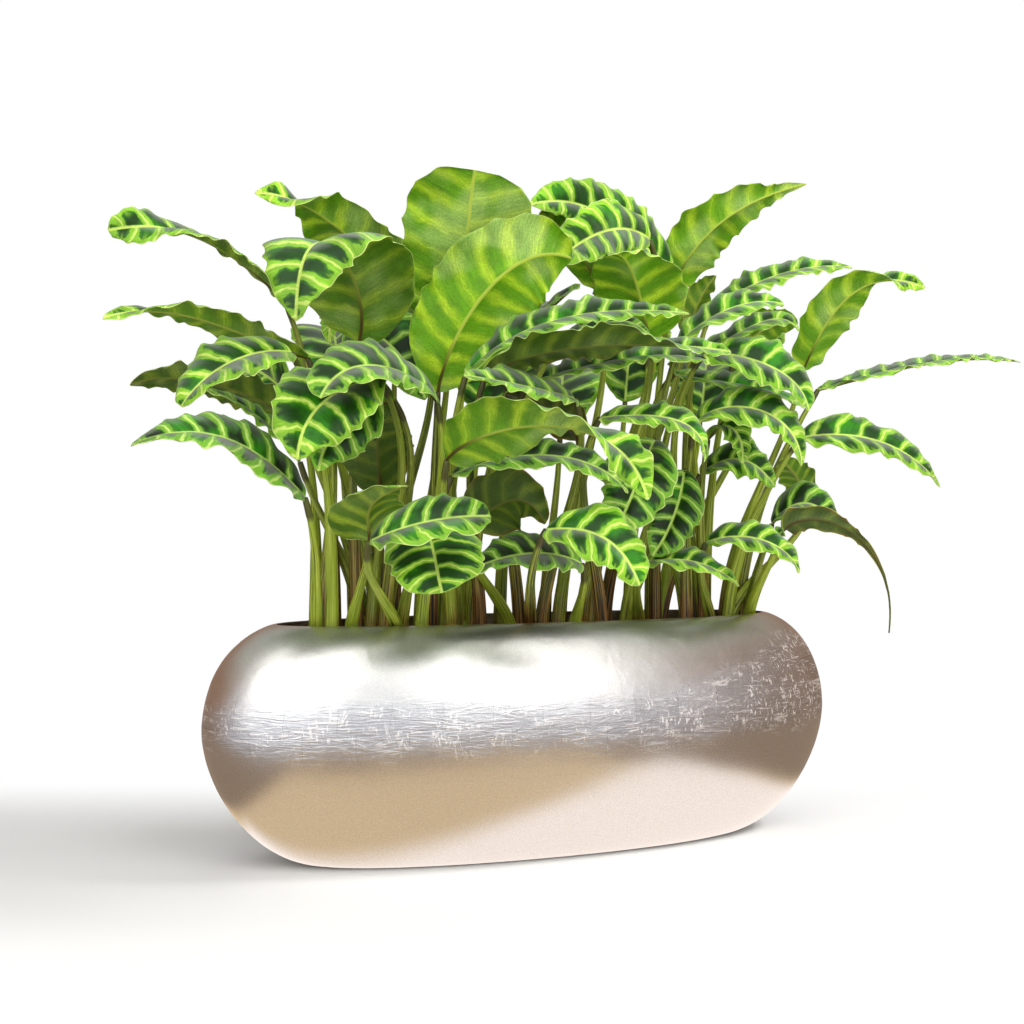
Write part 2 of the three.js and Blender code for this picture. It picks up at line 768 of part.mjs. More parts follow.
// ---- The whole ----------------------------------------------------------------------------------------
const plant = new THREE.Group();
const shell = planterBody();
const standing = [shell];
const holes = [];
for (const [name, stem] of Object.entries(stems)) {
  const { body, aside } = roomFor(stem, standing);
  standing.push(body);
  holes.push(holeFor(stem, aside));
  plant.add(meshOf("stem_" + name, body, leafGreen));
}
plant.add(meshOf("planter", shell, silverLeaf));
plant.add(meshOf("soil", soilBody(holes), pottingSoil));

export default plant;
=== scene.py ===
"""Potted calathea: the looks of an oval planter skinned in silver leaf, its soil, and the zebra-striped leaves.

Lengths are millimetres until a mesh is made, which is in metres. X runs along the planter, its front is at -Y.
"""
from functools import partial

import bpy
import numpy as np
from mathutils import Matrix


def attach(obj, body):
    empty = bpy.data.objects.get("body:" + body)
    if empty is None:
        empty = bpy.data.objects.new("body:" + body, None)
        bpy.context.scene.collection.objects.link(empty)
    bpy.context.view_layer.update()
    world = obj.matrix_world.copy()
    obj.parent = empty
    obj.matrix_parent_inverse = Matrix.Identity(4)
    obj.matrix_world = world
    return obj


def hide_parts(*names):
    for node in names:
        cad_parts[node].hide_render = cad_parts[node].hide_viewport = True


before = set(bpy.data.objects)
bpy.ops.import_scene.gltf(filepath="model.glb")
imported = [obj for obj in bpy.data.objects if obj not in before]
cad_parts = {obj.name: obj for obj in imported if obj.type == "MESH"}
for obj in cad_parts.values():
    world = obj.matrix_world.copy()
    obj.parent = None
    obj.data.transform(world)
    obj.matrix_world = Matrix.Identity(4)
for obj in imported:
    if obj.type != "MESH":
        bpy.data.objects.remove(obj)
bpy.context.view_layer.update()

MM = 0.001

# ---- Where the object is seen from -------------------------------------------------------------------
# A place on a leaf is (across, down, out): the picture point, in pixels of a 1024 px square, at which it is seen
# from the standpoint, and the millimetres that it stands in front of the planter's long axis.
DISTANCE, ASIDE, EYE_HEIGHT, TURN = 1800, -26, 403, 0.38  # the turn is in radians
FOCAL, CENTRE, PICTURE = 1480, 512, 1024  # pixels
SENSOR = 36  # mm
UP = np.array([0.0, 0.0, 1.0])
RIGHT = np.array([np.cos(TURN), -np.sin(TURN), 0.0])
AHEAD = np.array([np.sin(TURN), np.cos(TURN), 0.0])
EYE = ASIDE * RIGHT - DISTANCE * AHEAD + EYE_HEIGHT * UP

# ---- Sizes ---------------------------------------------------------------------------------------------
LENGTH, WIDTH, HEIGHT, BELLY = 800, 280, 275, 155
FLOOR, WALL, LIP = 12, 9, 6
SQUARENESS = 2.1
# The wall above and below the belly: how far its end is drawn in, over what height and how full a curve, and the
# share of that by which its long side is drawn in.
SHOULDER, FOOT = (111, 124, 2.1, 0.6), (129, 155, 1.75, 0.5)
SOIL_TOP = 240
STALK_BOTTOM, STALK_STRAIGHT = 200, 6  # its height in the soil, and how far it rises upright out of it
STALK_BASE, STALK_MID, STALK_COLLAR = 7, 5, 2.8  # radius
STALK_ROOTED, STALK_LED = 0.4, 0.35  # shares of its rise that steer its curve at the foot and at the collar
LEAD_LEAF, LEAD_UPRIGHT = 0.6, 0.8  # it reaches the collar between the way the leaf runs and upright
BLADE_THICK = 0.8
ROW_LENGTH, FEWEST_ROWS, MOST_ROWS = 44, 4, 7  # the waves that the solid blade's rows give it
BASE_FULLNESS, TIP_FULLNESS = 0.55, 0.7
COLLAR_WIDTH, TIP_WIDTH = 5, 2
ARCH, FOLD, WAVE = 0.12, 0.12, 0.07  # shares of the half width
CURL_FROM, JUDGED = 0.6, 0.4  # shares of the midrib: where the curl starts, and where the upper side is told
LET_OUT_STEP, LET_OUT_MOST = 8, 96

# ---- The stems -----------------------------------------------------------------------------------------
# A leaf runs from its collar over two places that divide its midrib into thirds to its tip. edge points from the
# midrib to the margin that is seen higher, as (right, up, near), wide is in millimetres, and tone is 0 for an old
# dark leaf and 1 for a fresh yellow-green one; the tone also paints light and shade, as it is set low for leaves that
# lie in shadow and high for brightly lit leaves and for leaves lit from behind. twist and curl are degrees of turn,
# fold and tail the lift of the margins and the fullness of the tip.
def leaf(collar, rise, bend, tip, edge, wide, tone, twist=0, curl=0, fold=FOLD, tail=TIP_FULLNESS):
    shape = {"edge": edge, "wide": wide, "twist": twist, "curl": curl, "fold": fold, "tail": tail}
    return {"knots": (collar, rise, bend, tip), "tone": tone, **shape}


STEMS = {
    "left_01": [leaf((285, 300, -30), (228, 254, -33), (172, 230, -28), (108, 230, -20), (0.1, -0.1, 0.98), 62, 0.45,
            twist=-60, curl=-60, tail=0.4)],
    "left_02": [leaf((425, 318, -45), (375, 262, -20), (318, 214, 0), (255, 193, 10), (0.5, 0.6, 0.8), 92, 0.9,
            curl=-110, tail=0.8)],
    "left_03": [leaf((359, 342, 30), (352, 275, 70), (318, 243, 120), (296, 321, 155), (1, 0.05, 0), 148, 0.5,
            fold=-0.06)],
    "left_04": [leaf((307, 358, 0), (245, 335, 15), (176, 314, 25), (103, 319, 30), (0.1, 0.35, 0.9), 62, 0.55,
            curl=-70)],
    "left_05": [leaf((292, 353, 70), (255, 354, 95), (215, 372, 115), (182, 407, 125), (-0.3, 0.55, -0.75), 80, 0.55,
            tail=0.5)],
    "left_06": [leaf((302, 428, 0), (254, 398, 10), (190, 380, 20), (130, 385, 25), (0.2, 0.6, 0.8), 62, 0.25),
        leaf((300, 462, 40), (272, 430, 45), (240, 405, 50), (204, 390, 50), (0.1, 0.2, -1), 50, 0.3)],
    "left_07": [leaf((305, 498, 120), (262, 458, 145), (205, 434, 165), (131, 446, 175), (0.1, 0.42, -0.9), 80,
            0.05)],
    "left_08": [leaf((437, 402, 120), (404, 374, 150), (358, 367, 180), (321, 398, 205), (-0.2, 0.5, -0.8), 85, 0.3,
            curl=-25, tail=0.5)],
    "left_09": [leaf((378, 378, 120), (343, 390, 140), (312, 415, 160), (297, 460, 175), (0.85, 0.2, -0.4), 112, 0.6),
        leaf((395, 402, 85), (360, 412, 105), (332, 436, 122), (318, 471, 135), (0.7, 0.4, -0.6), 80, 0.3)],
    "left_10": [leaf((352, 326, -25), (372, 332, -5), (400, 356, 20), (425, 400, 30), (0.6, 0.6, -0.5), 100, 0.15),
        leaf((348, 300, -50), (340, 303, -35), (332, 316, -20), (330, 343, -10), (1, 0.2, 0), 36, 0.7)],
    "left_11": [leaf((381, 493, 10), (378, 460, 25), (380, 428, 35), (396, 398, 45), (-0.9, 0, 0.3), 88, 0.2)],
    "left_12": [leaf((369, 541, 95), (368, 522, 115), (374, 503, 140), (408, 486, 170), (-1, -0.25, 0.2), 88, 0.4)],
    "left_13": [leaf((370, 542, 205), (405, 528, 230), (447, 519, 250), (491, 517, 260), (0.1, 0.6, -0.75), 78, 0.35,
            tail=0.45),
        leaf((425, 528, 150), (432, 546, 180), (437, 570, 200), (442, 593, 210), (1, 0.1, -0.2), 108, 0.6, tail=0.5)],
    "centre_01": [leaf((462, 372, 0), (464, 300, 15), (468, 230, 35), (475, 170, 60), (-1, 0.14, 0), 156, 0.85,
            fold=0.02, tail=0.32)],
    "centre_02": [leaf((438, 392, 40), (463, 325, 70), (512, 268, 100), (572, 259, 130), (-0.75, 0.6, 0.2), 128, 0.95,
            tail=0.55)],
    "centre_03": [leaf((510, 372, -10), (530, 335, 10), (552, 308, 20), (580, 284, 25), (0.5, 0.6, -0.5), 76, 0.15)],
    "centre_04": [leaf((672, 268, -60), (633, 237, -50), (588, 208, -40), (530, 205, -30), (0.3, 0.75, -0.5), 98,
            0.6)],
    "centre_05": [leaf((650, 240, -10), (617, 229, 20), (582, 242, 50), (550, 268, 65), (0.3, 0.75, -0.6), 76, 0.7)],
    "centre_06": [leaf((650, 340, 20), (642, 306, 40), (632, 272, 70), (616, 254, 110), (0.9, 0, 0.2), 116, 0.95)],
    "centre_07": [leaf((466, 375, 75), (525, 332, 95), (600, 313, 115), (689, 314, 130), (0, 0.5, -0.85), 78, 0.3),
        leaf((556, 344, 55), (590, 329, 68), (622, 322, 78), (650, 337, 84), (0.2, 0.5, -0.8), 50, 0.2)],
    "centre_08": [leaf((484, 380, 130), (540, 354, 160), (630, 345, 185), (731, 352, 195), (0, 0.35, 0.93), 84, 0.2,
            curl=75)],
    "centre_09": [leaf((530, 382, 50), (590, 367, 65), (655, 357, 75), (718, 364, 80), (0, 0.35, -0.9), 84, 0.35)],
    "centre_10": [leaf((575, 399, 110), (540, 390, 140), (500, 382, 160), (464, 376, 170), (0, 0.4, -0.9), 66, 0.35)],
    "centre_11": [leaf((447, 460, 150), (505, 430, 215), (590, 434, 262), (648, 500, 285), (-0.3, 0.35, 0.85), 90,
            0.6, twist=110, curl=30),
        leaf((452, 476, 100), (510, 458, 125), (575, 460, 145), (628, 493, 155), (0.2, 0.5, -0.8), 66, 0.15)],
    "centre_12": [leaf((470, 524, 70), (494, 508, 90), (520, 500, 110), (545, 524, 120), (-0.2, 0.9, 0.4), 84, 0.15)],
    "centre_13": [leaf((582, 564, 75), (546, 554, 100), (505, 558, 120), (464, 575, 130), (0.1, 0.45, -0.85), 70,
            0.1)],
    "centre_14": [leaf((546, 530, 160), (578, 530, 190), (612, 544, 210), (639, 586, 220), (0.5, 0.65, -0.55), 76,
            0.6, tail=0.5)],
    "centre_15": [leaf((645, 562, 80), (675, 560, 105), (706, 566, 125), (739, 586, 135), (0.2, 0.4, -0.9), 62, 0.6)],
    "centre_16": [leaf((655, 440, 110), (642, 470, 135), (630, 500, 150), (614, 533, 155), (1, 0.2, -0.2), 88, 0.15),
        leaf((684, 470, 65), (679, 500, 80), (668, 530, 92), (652, 556, 95), (1, 0.2, -0.2), 66, 0.15)],
    "centre_17": [leaf((600, 418, 130), (642, 416, 165), (686, 425, 190), (704, 462, 200), (0.3, 0.5, -0.75), 56,
            0.4)],
    "centre_18": [leaf((600, 290, -70), (578, 250, -60), (558, 226, -50), (540, 212, -40), (0.6, 0.6, 0.4), 60, 0.8)],
    "centre_19": [leaf((578, 440, 20), (560, 418, 40), (535, 402, 60), (505, 394, 70), (0.2, 0.6, 0.6), 66, 0.1)],
    "right_01": [leaf((672, 290, -70), (698, 245, -45), (741, 209, -25), (806, 184, -10), (-0.6, 0.55, 0.75), 100,
            0.85, tail=1.1)],
    "right_02": [leaf((712, 310, -30), (752, 286, -22), (800, 270, -12), (852, 268, 0), (0, 0.5, -0.85), 68, 0.5)],
    "right_03": [leaf((680, 342, 75), (712, 318, 90), (748, 304, 105), (784, 305, 115), (0.1, 0.55, -0.8), 76, 0.35),
        leaf((700, 352, 20), (738, 334, 35), (772, 320, 45), (799, 331, 50), (0.2, 0.5, -0.8), 60, 0.3)],
    "right_04": [leaf((733, 362, -10), (750, 340, 0), (772, 326, 10), (798, 324, 20), (-0.3, 0.6, 0.5), 66, 0.8),
        leaf((690, 335, -60), (694, 315, -55), (702, 296, -50), (716, 276, -45), (0.7, 0.4, -0.4), 60, 0.4)],
    "right_05": [leaf((803, 370, -60), (824, 328, -30), (862, 288, 5), (925, 288, 35), (-0.6, 0.5, 0.6), 82, 0.85,
            curl=110)],
    "right_06": [leaf((818, 390, -10), (884, 373, 0), (952, 361, 5), (1020, 362, 10), (0, 0.25, -0.95), 62, 0.35)],
    "right_07": [leaf((705, 352, 150), (745, 358, 180), (786, 376, 200), (808, 411, 210), (0.4, 0.6, -0.65), 84,
            0.35),
        leaf((674, 374, 100), (718, 382, 120), (762, 390, 135), (804, 408, 145), (0.1, 0.4, -0.9), 70, 0.3)],
    "right_08": [leaf((800, 438, 20), (838, 435, 40), (890, 446, 60), (940, 487, 70), (0.15, 0.6, -0.7), 76, 0.55),
        leaf((808, 500, -20), (801, 485, -10), (792, 471, 0), (780, 460, 10), (0.8, 0.4, 0.3), 50, 0.5)],
    "right_09": [leaf((693, 430, 120), (726, 408, 150), (775, 418, 180), (801, 466, 195), (0.4, 0.6, -0.6), 72, 0.6)],
    "right_10": [leaf((700, 474, 10), (728, 460, 30), (752, 464, 45), (775, 487, 50), (0.4, 0.6, -0.6), 72, 0.4),
        leaf((708, 440, 55), (724, 426, 75), (738, 436, 85), (742, 463, 90), (0.8, 0.4, -0.4), 44, 0.4)],
    "right_11": [leaf((772, 524, 20), (793, 506, 35), (815, 506, 48), (838, 528, 58), (0.4, 0.6, -0.6), 76, 0.15),
        leaf((780, 535, 70), (822, 520, 90), (872, 553, 105), (889, 633, 110), (0.6, 0.7, 0.3), 44, 0.1, tail=3)],
    "right_12": [leaf((706, 543, 110), (740, 537, 135), (775, 546, 155), (799, 573, 165), (0.2, 0.5, -0.8), 66, 0.6)],
    "back_01": [leaf((340, 402, -80), (336, 346, -125), (330, 332, -185), (322, 372, -235), (1, 0.1, 0), 110, 0.4)],
    "back_02": [leaf((395, 362, -80), (398, 302, -115), (395, 278, -170), (385, 302, -230), (1, -0.1, 0.2), 118,
            0.55)],
    "back_03": [leaf((450, 332, -90), (455, 254, -120), (460, 228, -180), (465, 254, -240), (1, 0, 0), 120, 0.6)],
    "back_04": [leaf((480, 412, -90), (485, 366, -130), (490, 352, -190), (495, 392, -240), (1, 0.1, -0.2), 112,
            0.35)],
    "back_05": [leaf((520, 372, -85), (525, 332, -120), (526, 312, -180), (518, 334, -240), (1, 0.2, 0), 88, 0.5)],
    "back_06": [leaf((560, 432, -80), (562, 388, -120), (565, 372, -185), (570, 412, -240), (1, -0.1, 0.1), 108,
            0.3)],
    "back_07": [leaf((625, 402, -90), (630, 348, -130), (635, 328, -190), (640, 352, -245), (1, 0, -0.1), 108, 0.45)],
    "back_08": [leaf((648, 350, -95), (648, 292, -130), (645, 272, -185), (640, 296, -240), (1, 0.1, 0.1), 84, 0.6)],
    "back_09": [leaf((700, 422, -85), (705, 378, -125), (708, 360, -190), (712, 398, -245), (1, 0.1, 0), 108, 0.35),
        leaf((752, 392, -85), (756, 348, -115), (756, 330, -170), (752, 356, -225), (1, 0, 0.1), 80, 0.5)],
    "back_10": [leaf((296, 402, -55), (264, 374, -95), (242, 372, -145), (226, 397, -195), (0.7, 0.3, 0.5), 80, 0.4)],
}


# ---- Small tools ---------------------------------------------------------------------------------------
def unit(vectors):
    return vectors / np.linalg.norm(vectors, axis=-1, keepdims=True)


def square(direction, to):
    """What is left of a direction square to another one, at length 1."""
    return unit(direction - to * np.sum(direction * to, axis=-1, keepdims=True))


def smooth(value, low, high):
    """0 below low, 1 above high, and the S-shaped 3x^2 - 2x^3 between them."""
    share = np.clip((value - low) / (high - low), 0, 1)
    return share * share * (3 - 2 * share)


def unrest(points, size, seed, waves=9):
    """Soft noise from about -1 to 1: the sum of sines along seeded directions, about size millimetres long."""
    draw = np.random.default_rng(seed)
    total = np.zeros(points.shape[:-1])
    for _ in range(waves):
        direction = unit(draw.normal(size=3)) * 2 * np.pi / (size * draw.uniform(0.7, 1.6))
        total += np.sin(points @ direction + draw.uniform(0, 2 * np.pi))
    return total / np.sqrt(waves)


def way_along(line):
    """The way along a line from its first point to each of its points."""
    return np.concatenate([[0], np.cumsum(np.linalg.norm(np.diff(line, axis=0), axis=1))])


def turns(count):
    """The angles of a ring of count points."""
    return np.arange(count) / count * 2 * np.pi


def triples(shape, first, second, third):
    """Three values for every point of a grid, spread over it from numbers, rows or columns."""
    return np.stack([np.broadcast_to(part, shape) for part in (first, second, third)], axis=-1)


def place(across, down, out):
    """The line of sight through a picture point meets the upright plane that stands out before the long axis."""
    ray = AHEAD + RIGHT * ((across - CENTRE) / FOCAL) + UP * ((CENTRE - down) / FOCAL)
    return EYE + ray * ((-out - EYE[1]) / ray[1])


class Surface:
    """Gathers closed skins into one mesh: their points in millimetres, faces, finishes and pattern values."""

    def __init__(self):
        self.points, self.faces, self.finish, self.pattern, self.look = [], [], [], [], []
        self.count = 0

    def add(self, rings, finish, pattern=0.0, look=0.0):
        """Adds one skin of rings in order, closed with a lid at each end. Its faces turn outwards: a skin whose
        volume comes out negative has them reversed."""
        points, faces = rings.reshape(-1, 3), closed(*rings.shape[:2])
        first, second, third, fourth = (points[faces[:, i]] for i in range(4))
        volume = sum(
            np.sum(np.cross(b - first, c - first) * first) for b, c in ((second, third), (third, fourth))
        )
        self.points.append(points)
        self.faces.append((faces[:, ::-1] if volume < 0 else faces) + self.count)
        self.finish.append(np.broadcast_to(finish, len(faces)))
        for kept, values in (self.pattern, pattern), (self.look, look):
            kept.append(np.broadcast_to(values, rings.shape).reshape(-1, 3))
        self.count += len(points)

    def piece(self, name, materials):
        """Makes the mesh object, in metres."""
        mesh = bpy.data.meshes.new(name)
        faces = np.concatenate(self.faces)
        mesh.from_pydata(np.concatenate(self.points) * MM, [], faces.tolist())
        for material in materials:
            mesh.materials.append(material)
        mesh.polygons.foreach_set("material_index", np.concatenate(self.finish).astype(np.int32))
        mesh.polygons.foreach_set("use_smooth", np.ones(len(faces), bool))
        for label, values in ("pattern", self.pattern), ("look", self.look):
            attribute = mesh.attributes.new(label, "FLOAT_VECTOR", "POINT")
            attribute.data.foreach_set("vector", np.concatenate(values).astype(np.float32).ravel())
        mesh.validate()
        made = bpy.data.objects.new(name, mesh)
        bpy.context.collection.objects.link(made)
        return made


def closed(rows, ring):
    """Four-cornered faces of rows rings of ring points each, in order, with a lid on the first and the last ring,
    which is made of strips between the first half and the second half of that ring."""
    row, i = np.meshgrid(np.arange(rows - 1), np.arange(ring), indexing="ij")
    a, b = row * ring + i, row * ring + (i + 1) % ring
    band = np.stack([a, b, b + ring, a + ring], axis=-1).reshape(-1, 4)
    i = np.arange(ring // 2 - 1)
    lid = np.stack([i, i + 1, ring - 2 - i, ring - 1 - i], axis=-1)
    return np.concatenate([band, lid[:, ::-1], lid + (rows - 1) * ring])


# ---- Leaves --------------------------------------------------------------------------------------------
LEAF_COLUMNS = 18  # from the midrib to each margin
CROWDING = 0.3  # how much closer together they stand at the midrib
LEAF_ROW = 2.5  # mm of midrib from row to row
FEWEST_LEAF_ROWS, MOST_LEAF_ROWS = 40, 104
VEIN_RUN, VEIN_RUN_WIDE = 14, 0.2  # a side vein runs on by 14 mm and a fifth of the half width before the margin
VEIN_BEND = 0.4  # share of that which comes with the square of the way outwards
VEINS_ALONG = 5.6  # light stripes on each side of a midrib
CLOSEST_VEINS, WIDEST_VEINS = 16, 29  # mm between them
ROOMY = 20  # mm of half width that gives the bulges, ruffles and teeth their full height
QUILT = 0.7  # mm by which the leaf bulges between its side veins
RUFFLE, RUFFLE_LENGTH = 3.8, 27  # mm, height and length of the small waves at the margins
TOOTH = 6.5  # mm by which the margin draws in between its teeth
TEETH = 1  # tooth to each stripe
MARGIN_FROM, MARGIN_THIN = 0.8, 0.55  # where the leaf starts to thin on its way outwards, and by what share
RIB_DEEP, RIB_WIDE = 1.7, 2.6  # mm, the midrib that stands out underneath
GROOVE = 0.5  # mm, its groove on top
RIB_TAPER = 0.75  # share by which both are lower at the tip


def outline(wide, tail, s):
    """Half width: it rises from the collar as a power of the share along the midrib, and falls as another."""
    widest = BASE_FULLNESS / (BASE_FULLNESS + tail)

    def shape(share):
        return share**BASE_FULLNESS * (1 - share) ** tail

    least = (COLLAR_WIDTH + (TIP_WIDTH - COLLAR_WIDTH) * s) / 2
    return least + (wide / 2 - least) * shape(s) / shape(widest)


def midrib(knots, s):
    """The cubic through the four knots: each one's weight is 1 at its own third and 0 at the other three."""
    weights = [
        -4.5 * (s - 1 / 3) * (s - 2 / 3) * (s - 1),
        13.5 * s * (s - 2 / 3) * (s - 1),
        -13.5 * s * (s - 1 / 3) * (s - 1),
        4.5 * s * (s - 1 / 3) * (s - 2 / 3),
    ]
    return sum(weight[..., None] * knot for weight, knot in zip(weights, knots))


def along(knots, s):
    return unit(midrib(knots, s + 0.01) - midrib(knots, s - 0.01))


def knots_of(entry, shift):
    return [place(across, down, out + shift) for across, down, out in entry["knots"]]


def leaf_frame(entry, knots, s):
    """Unit vectors across the leaf and out of it: the seen edge made square to the midrib, turned by the twist all
    along and by the curl towards the tip."""
    run = along(knots, s)
    rightwards, upwards, near = entry["edge"]
    seen = unit(RIGHT * rightwards + UP * upwards - AHEAD * near)
    level = square(seen, run)
    turn = np.radians(entry["twist"] * (s - 0.5) + entry["curl"] * smooth(s, CURL_FROM, 1))[..., None]
    across = level * np.cos(turn) + np.cross(run, level) * np.sin(turn)
    return across, np.cross(run, across)


def add_blade(surface, entry, knots, seed):
    """A leaf blade, as rings that run over its upper face and back under it, from collar to tip.

    Side veins run where (way along the midrib - way outwards, bent by its square) / spacing is a whole number; on one
    half of the leaf they stand half a spacing on. The height over the midrib is half width x (arch 4t(1-t) + fold t
    + wave cos(pi rows s) t^2), t being 0 at the midrib and 1 at the margin. The quilt between the side veins, the
    ruffled margin, the rib and its groove are added to it. The margin draws in by |sin| between its pointed teeth,
    one to each stripe, deeper in some places than in others.
    """
    draw = np.random.default_rng(seed)
    chord = sum(np.linalg.norm(b - a) for a, b in zip(knots, knots[1:]))
    facets = int(np.clip(np.floor(chord / ROW_LENGTH + 0.5), FEWEST_ROWS, MOST_ROWS))
    rows = int(np.clip(chord / LEAF_ROW, FEWEST_LEAF_ROWS, MOST_LEAF_ROWS))
    s = np.linspace(0, 1, rows)[:, None]
    u = np.linspace(-1, 1, 2 * LEAF_COLUMNS + 1)[None, :]
    t = u * (1 - CROWDING + CROWDING * np.abs(u))
    out = np.abs(t)

    line = midrib(knots, s[:, 0])
    run = way_along(line)[:, None]
    spacing = np.clip(run[-1, 0] / VEINS_ALONG, CLOSEST_VEINS, WIDEST_VEINS)
    across, upper = leaf_frame(entry, knots, s[:, 0])
    upper = upper * np.sign(leaf_frame(entry, knots, np.array([JUDGED]))[1][0, 2])

    half = outline(entry["wide"], entry["tail"], s)
    widest = entry["wide"] / 2
    outwards = half * out / widest
    run_on = (VEIN_RUN + VEIN_RUN_WIDE * widest) * ((1 - VEIN_BEND) * outwards + VEIN_BEND * outwards**2)
    phase = (run - run_on) / spacing + np.where(t > 0, 0.5, 0.0)
    phase = phase + draw.uniform(0, 1)
    room = np.clip(half / ROOMY, 0, 1)
    drawn_in = np.abs(np.sin(np.pi * TEETH * phase + 0.8 * np.sin(phase * 1.7)))
    toothed = 0.55 + 0.45 * np.sin(phase * 2.3 + draw.uniform(0, 6))
    half = half - TOOTH * room * toothed * drawn_in * out**6
    rise = half * (ARCH * 4 * out * (1 - out) + entry["fold"] * out + WAVE * np.cos(np.pi * facets * s) * t * out)
    swing = 2 * np.pi * run / (RUFFLE_LENGTH * draw.uniform(0.85, 1.2)) + np.where(t > 0, 1.7, 0.0)
    uneven = 0.6 + 0.4 * np.sin(swing * 0.31 + draw.uniform(0, 6))
    rise = rise + RUFFLE * room * uneven * np.sin(swing + 1.3 * np.sin(swing * 0.37)) * out**3.5
    between = np.sin(np.pi * phase) ** 2
    at_margin = smooth(out, MARGIN_FROM, 1.0)
    rise = rise + QUILT * room * between * smooth(out, 0.02, 0.25) * (1 - 0.5 * at_margin)

    thin = BLADE_THICK / 2 * (1 - MARGIN_THIN * at_margin)
    tapering = 1 - RIB_TAPER * s
    near_rib = np.exp(-((half * t / RIB_WIDE) ** 2))
    top = rise + thin - GROOVE * tapering * near_rib
    bottom = rise - thin - RIB_DEEP * tapering * near_rib
    base = line[:, None, :] + across[:, None, :] * (half * t)[..., None]
    over, under = (base + upper[:, None, :] * height[..., None] for height in (top, bottom))

    rings = np.concatenate([over, under[:, ::-1]], axis=1)
    pattern = triples(phase.shape, phase, half * t, half * (1 - out))
    pattern = np.concatenate([pattern, pattern[:, ::-1]], axis=1)
    look = triples(rings.shape[:2], entry["tone"], draw.uniform(0, 1), s)
    ring = rings.shape[1]
    finish = np.concatenate([np.tile(np.arange(ring) // (ring // 2), rows - 1), np.repeat([1, 0], ring // 2 - 1)])
    surface.add(rings, finish, pattern, look)

# ---- Stalks --------------------------------------------------------------------------------------------
STALK_SIDES, STALK_ROWS, BURIED_ROWS = 24, 56, 6
SHEATH_WIDE, SHEATH_DEEP = 1.12, 0.84  # the leaf sheath at the foot is flat: its half axes as shares of the radius
SHEATH_FULL, SHEATH_END = 0.3, 0.55  # shares of the way up between which it ends
SHEATH_LAP = 0.14  # height of the sheath's free edge, as a share of the radius
RIBS, RIB_HEIGHT = 8, 0.05
JOINT_LENGTH, JOINT_SWELL = 26, 0.22  # the swollen joint under each blade
SKIN_ROUND = 8  # mm, radius of the circle on which the streaks are laid


def add_stalk(surface, knots, foot, seed):
    """A leaf stalk: upright out of the soil, then a cubic Bezier curve to the collar, as rings of a ribbed oval.

    Its radius falls from foot to collar. The lower part is a flat sheath whose free edge laps over itself, and the
    last stretch swells to the joint on which the blade turns.
    """
    draw = np.random.default_rng(seed)
    start = np.array([foot[0], foot[1], SOIL_TOP + STALK_STRAIGHT])
    end = knots[0]
    rise = end[2] - start[2]
    lead = unit(along(knots, np.array([0.0]))[0] * LEAD_LEAF + UP * LEAD_UPRIGHT)
    share = np.linspace(0, 1, STALK_ROWS)[:, None]
    curve = (
        start * (1 - share) ** 3
        + (start + UP * STALK_ROOTED * rise) * 3 * share * (1 - share) ** 2
        + (end - lead * STALK_LED * rise) * 3 * share**2 * (1 - share)
        + end * share**3
    )
    depth = np.linspace(STALK_BOTTOM, start[2], BURIED_ROWS, endpoint=False)
    line = np.concatenate([triples(BURIED_ROWS, foot[0], foot[1], depth), curve])
    share = np.concatenate([np.zeros((BURIED_ROWS, 1)), share])
    run = unit(np.gradient(line, axis=0))
    first = square(RIGHT, run)
    second = np.cross(run, first)

    low = STALK_BASE + (STALK_MID - STALK_BASE) * np.clip(2 * share, 0, 1)
    radius = low + (STALK_COLLAR - low) * np.clip(2 * share - 1, 0, 1)
    climbed = way_along(line)[:, None]
    left = climbed[-1, 0] - climbed
    radius = radius * (1 + JOINT_SWELL * smooth(left, JOINT_LENGTH, JOINT_LENGTH - 8) * smooth(left, -6, 6))
    sheath = 1 - smooth(share, SHEATH_FULL, SHEATH_END)
    angle = turns(STALK_SIDES)[None, :]
    lean = draw.uniform(0, 2 * np.pi)
    lap = SHEATH_LAP * sheath * smooth(np.sin(angle - lean - 2 * share), 0.0, 0.35)
    relief = 1 + RIB_HEIGHT * np.cos(RIBS * angle + lean) * (0.4 + 0.6 * sheath) + lap
    wide, deep = 1 + (SHEATH_WIDE - 1) * sheath, 1 + (SHEATH_DEEP - 1) * sheath
    rings = line[:, None, :] + (radius * relief)[..., None] * (
        first[:, None, :] * (wide * np.cos(angle))[..., None]
        + second[:, None, :] * (deep * np.sin(angle))[..., None]
    )
    shape = rings.shape[:2]
    skin = SKIN_ROUND * np.cos(angle), SKIN_ROUND * np.sin(angle), climbed + 1000 * draw.uniform(0, 1)
    surface.add(rings, 2, triples(shape, *skin), triples(shape, share, left, draw.uniform(0, 1)))


# ---- Leafy stems ---------------------------------------------------------------------------------------
def corners_of(node):
    """The corner points of a CAD node, in millimetres."""
    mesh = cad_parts[node].data
    flat = np.empty(len(mesh.vertices) * 3, np.float32)
    mesh.vertices.foreach_get("co", flat)
    return flat.reshape(-1, 3).astype(float) / MM


def let_out(entries, corners):
    """How far the solid stem was let out or in from its place in the table, as its blades' tips show."""

    def miss(shift):
        tips = [knots_of(entry, shift)[-1] for entry in entries]
        return sum(np.linalg.norm(corners - tip, axis=1).min() for tip in tips)

    return min(np.arange(-LET_OUT_MOST, LET_OUT_MOST + LET_OUT_STEP, LET_OUT_STEP), key=miss)


def foot_of(corners):
    """The middle of the solid stem's cut end, which stands in the soil."""
    return corners[np.abs(corners[:, 2] - STALK_BOTTOM) < 0.05].mean(axis=0)


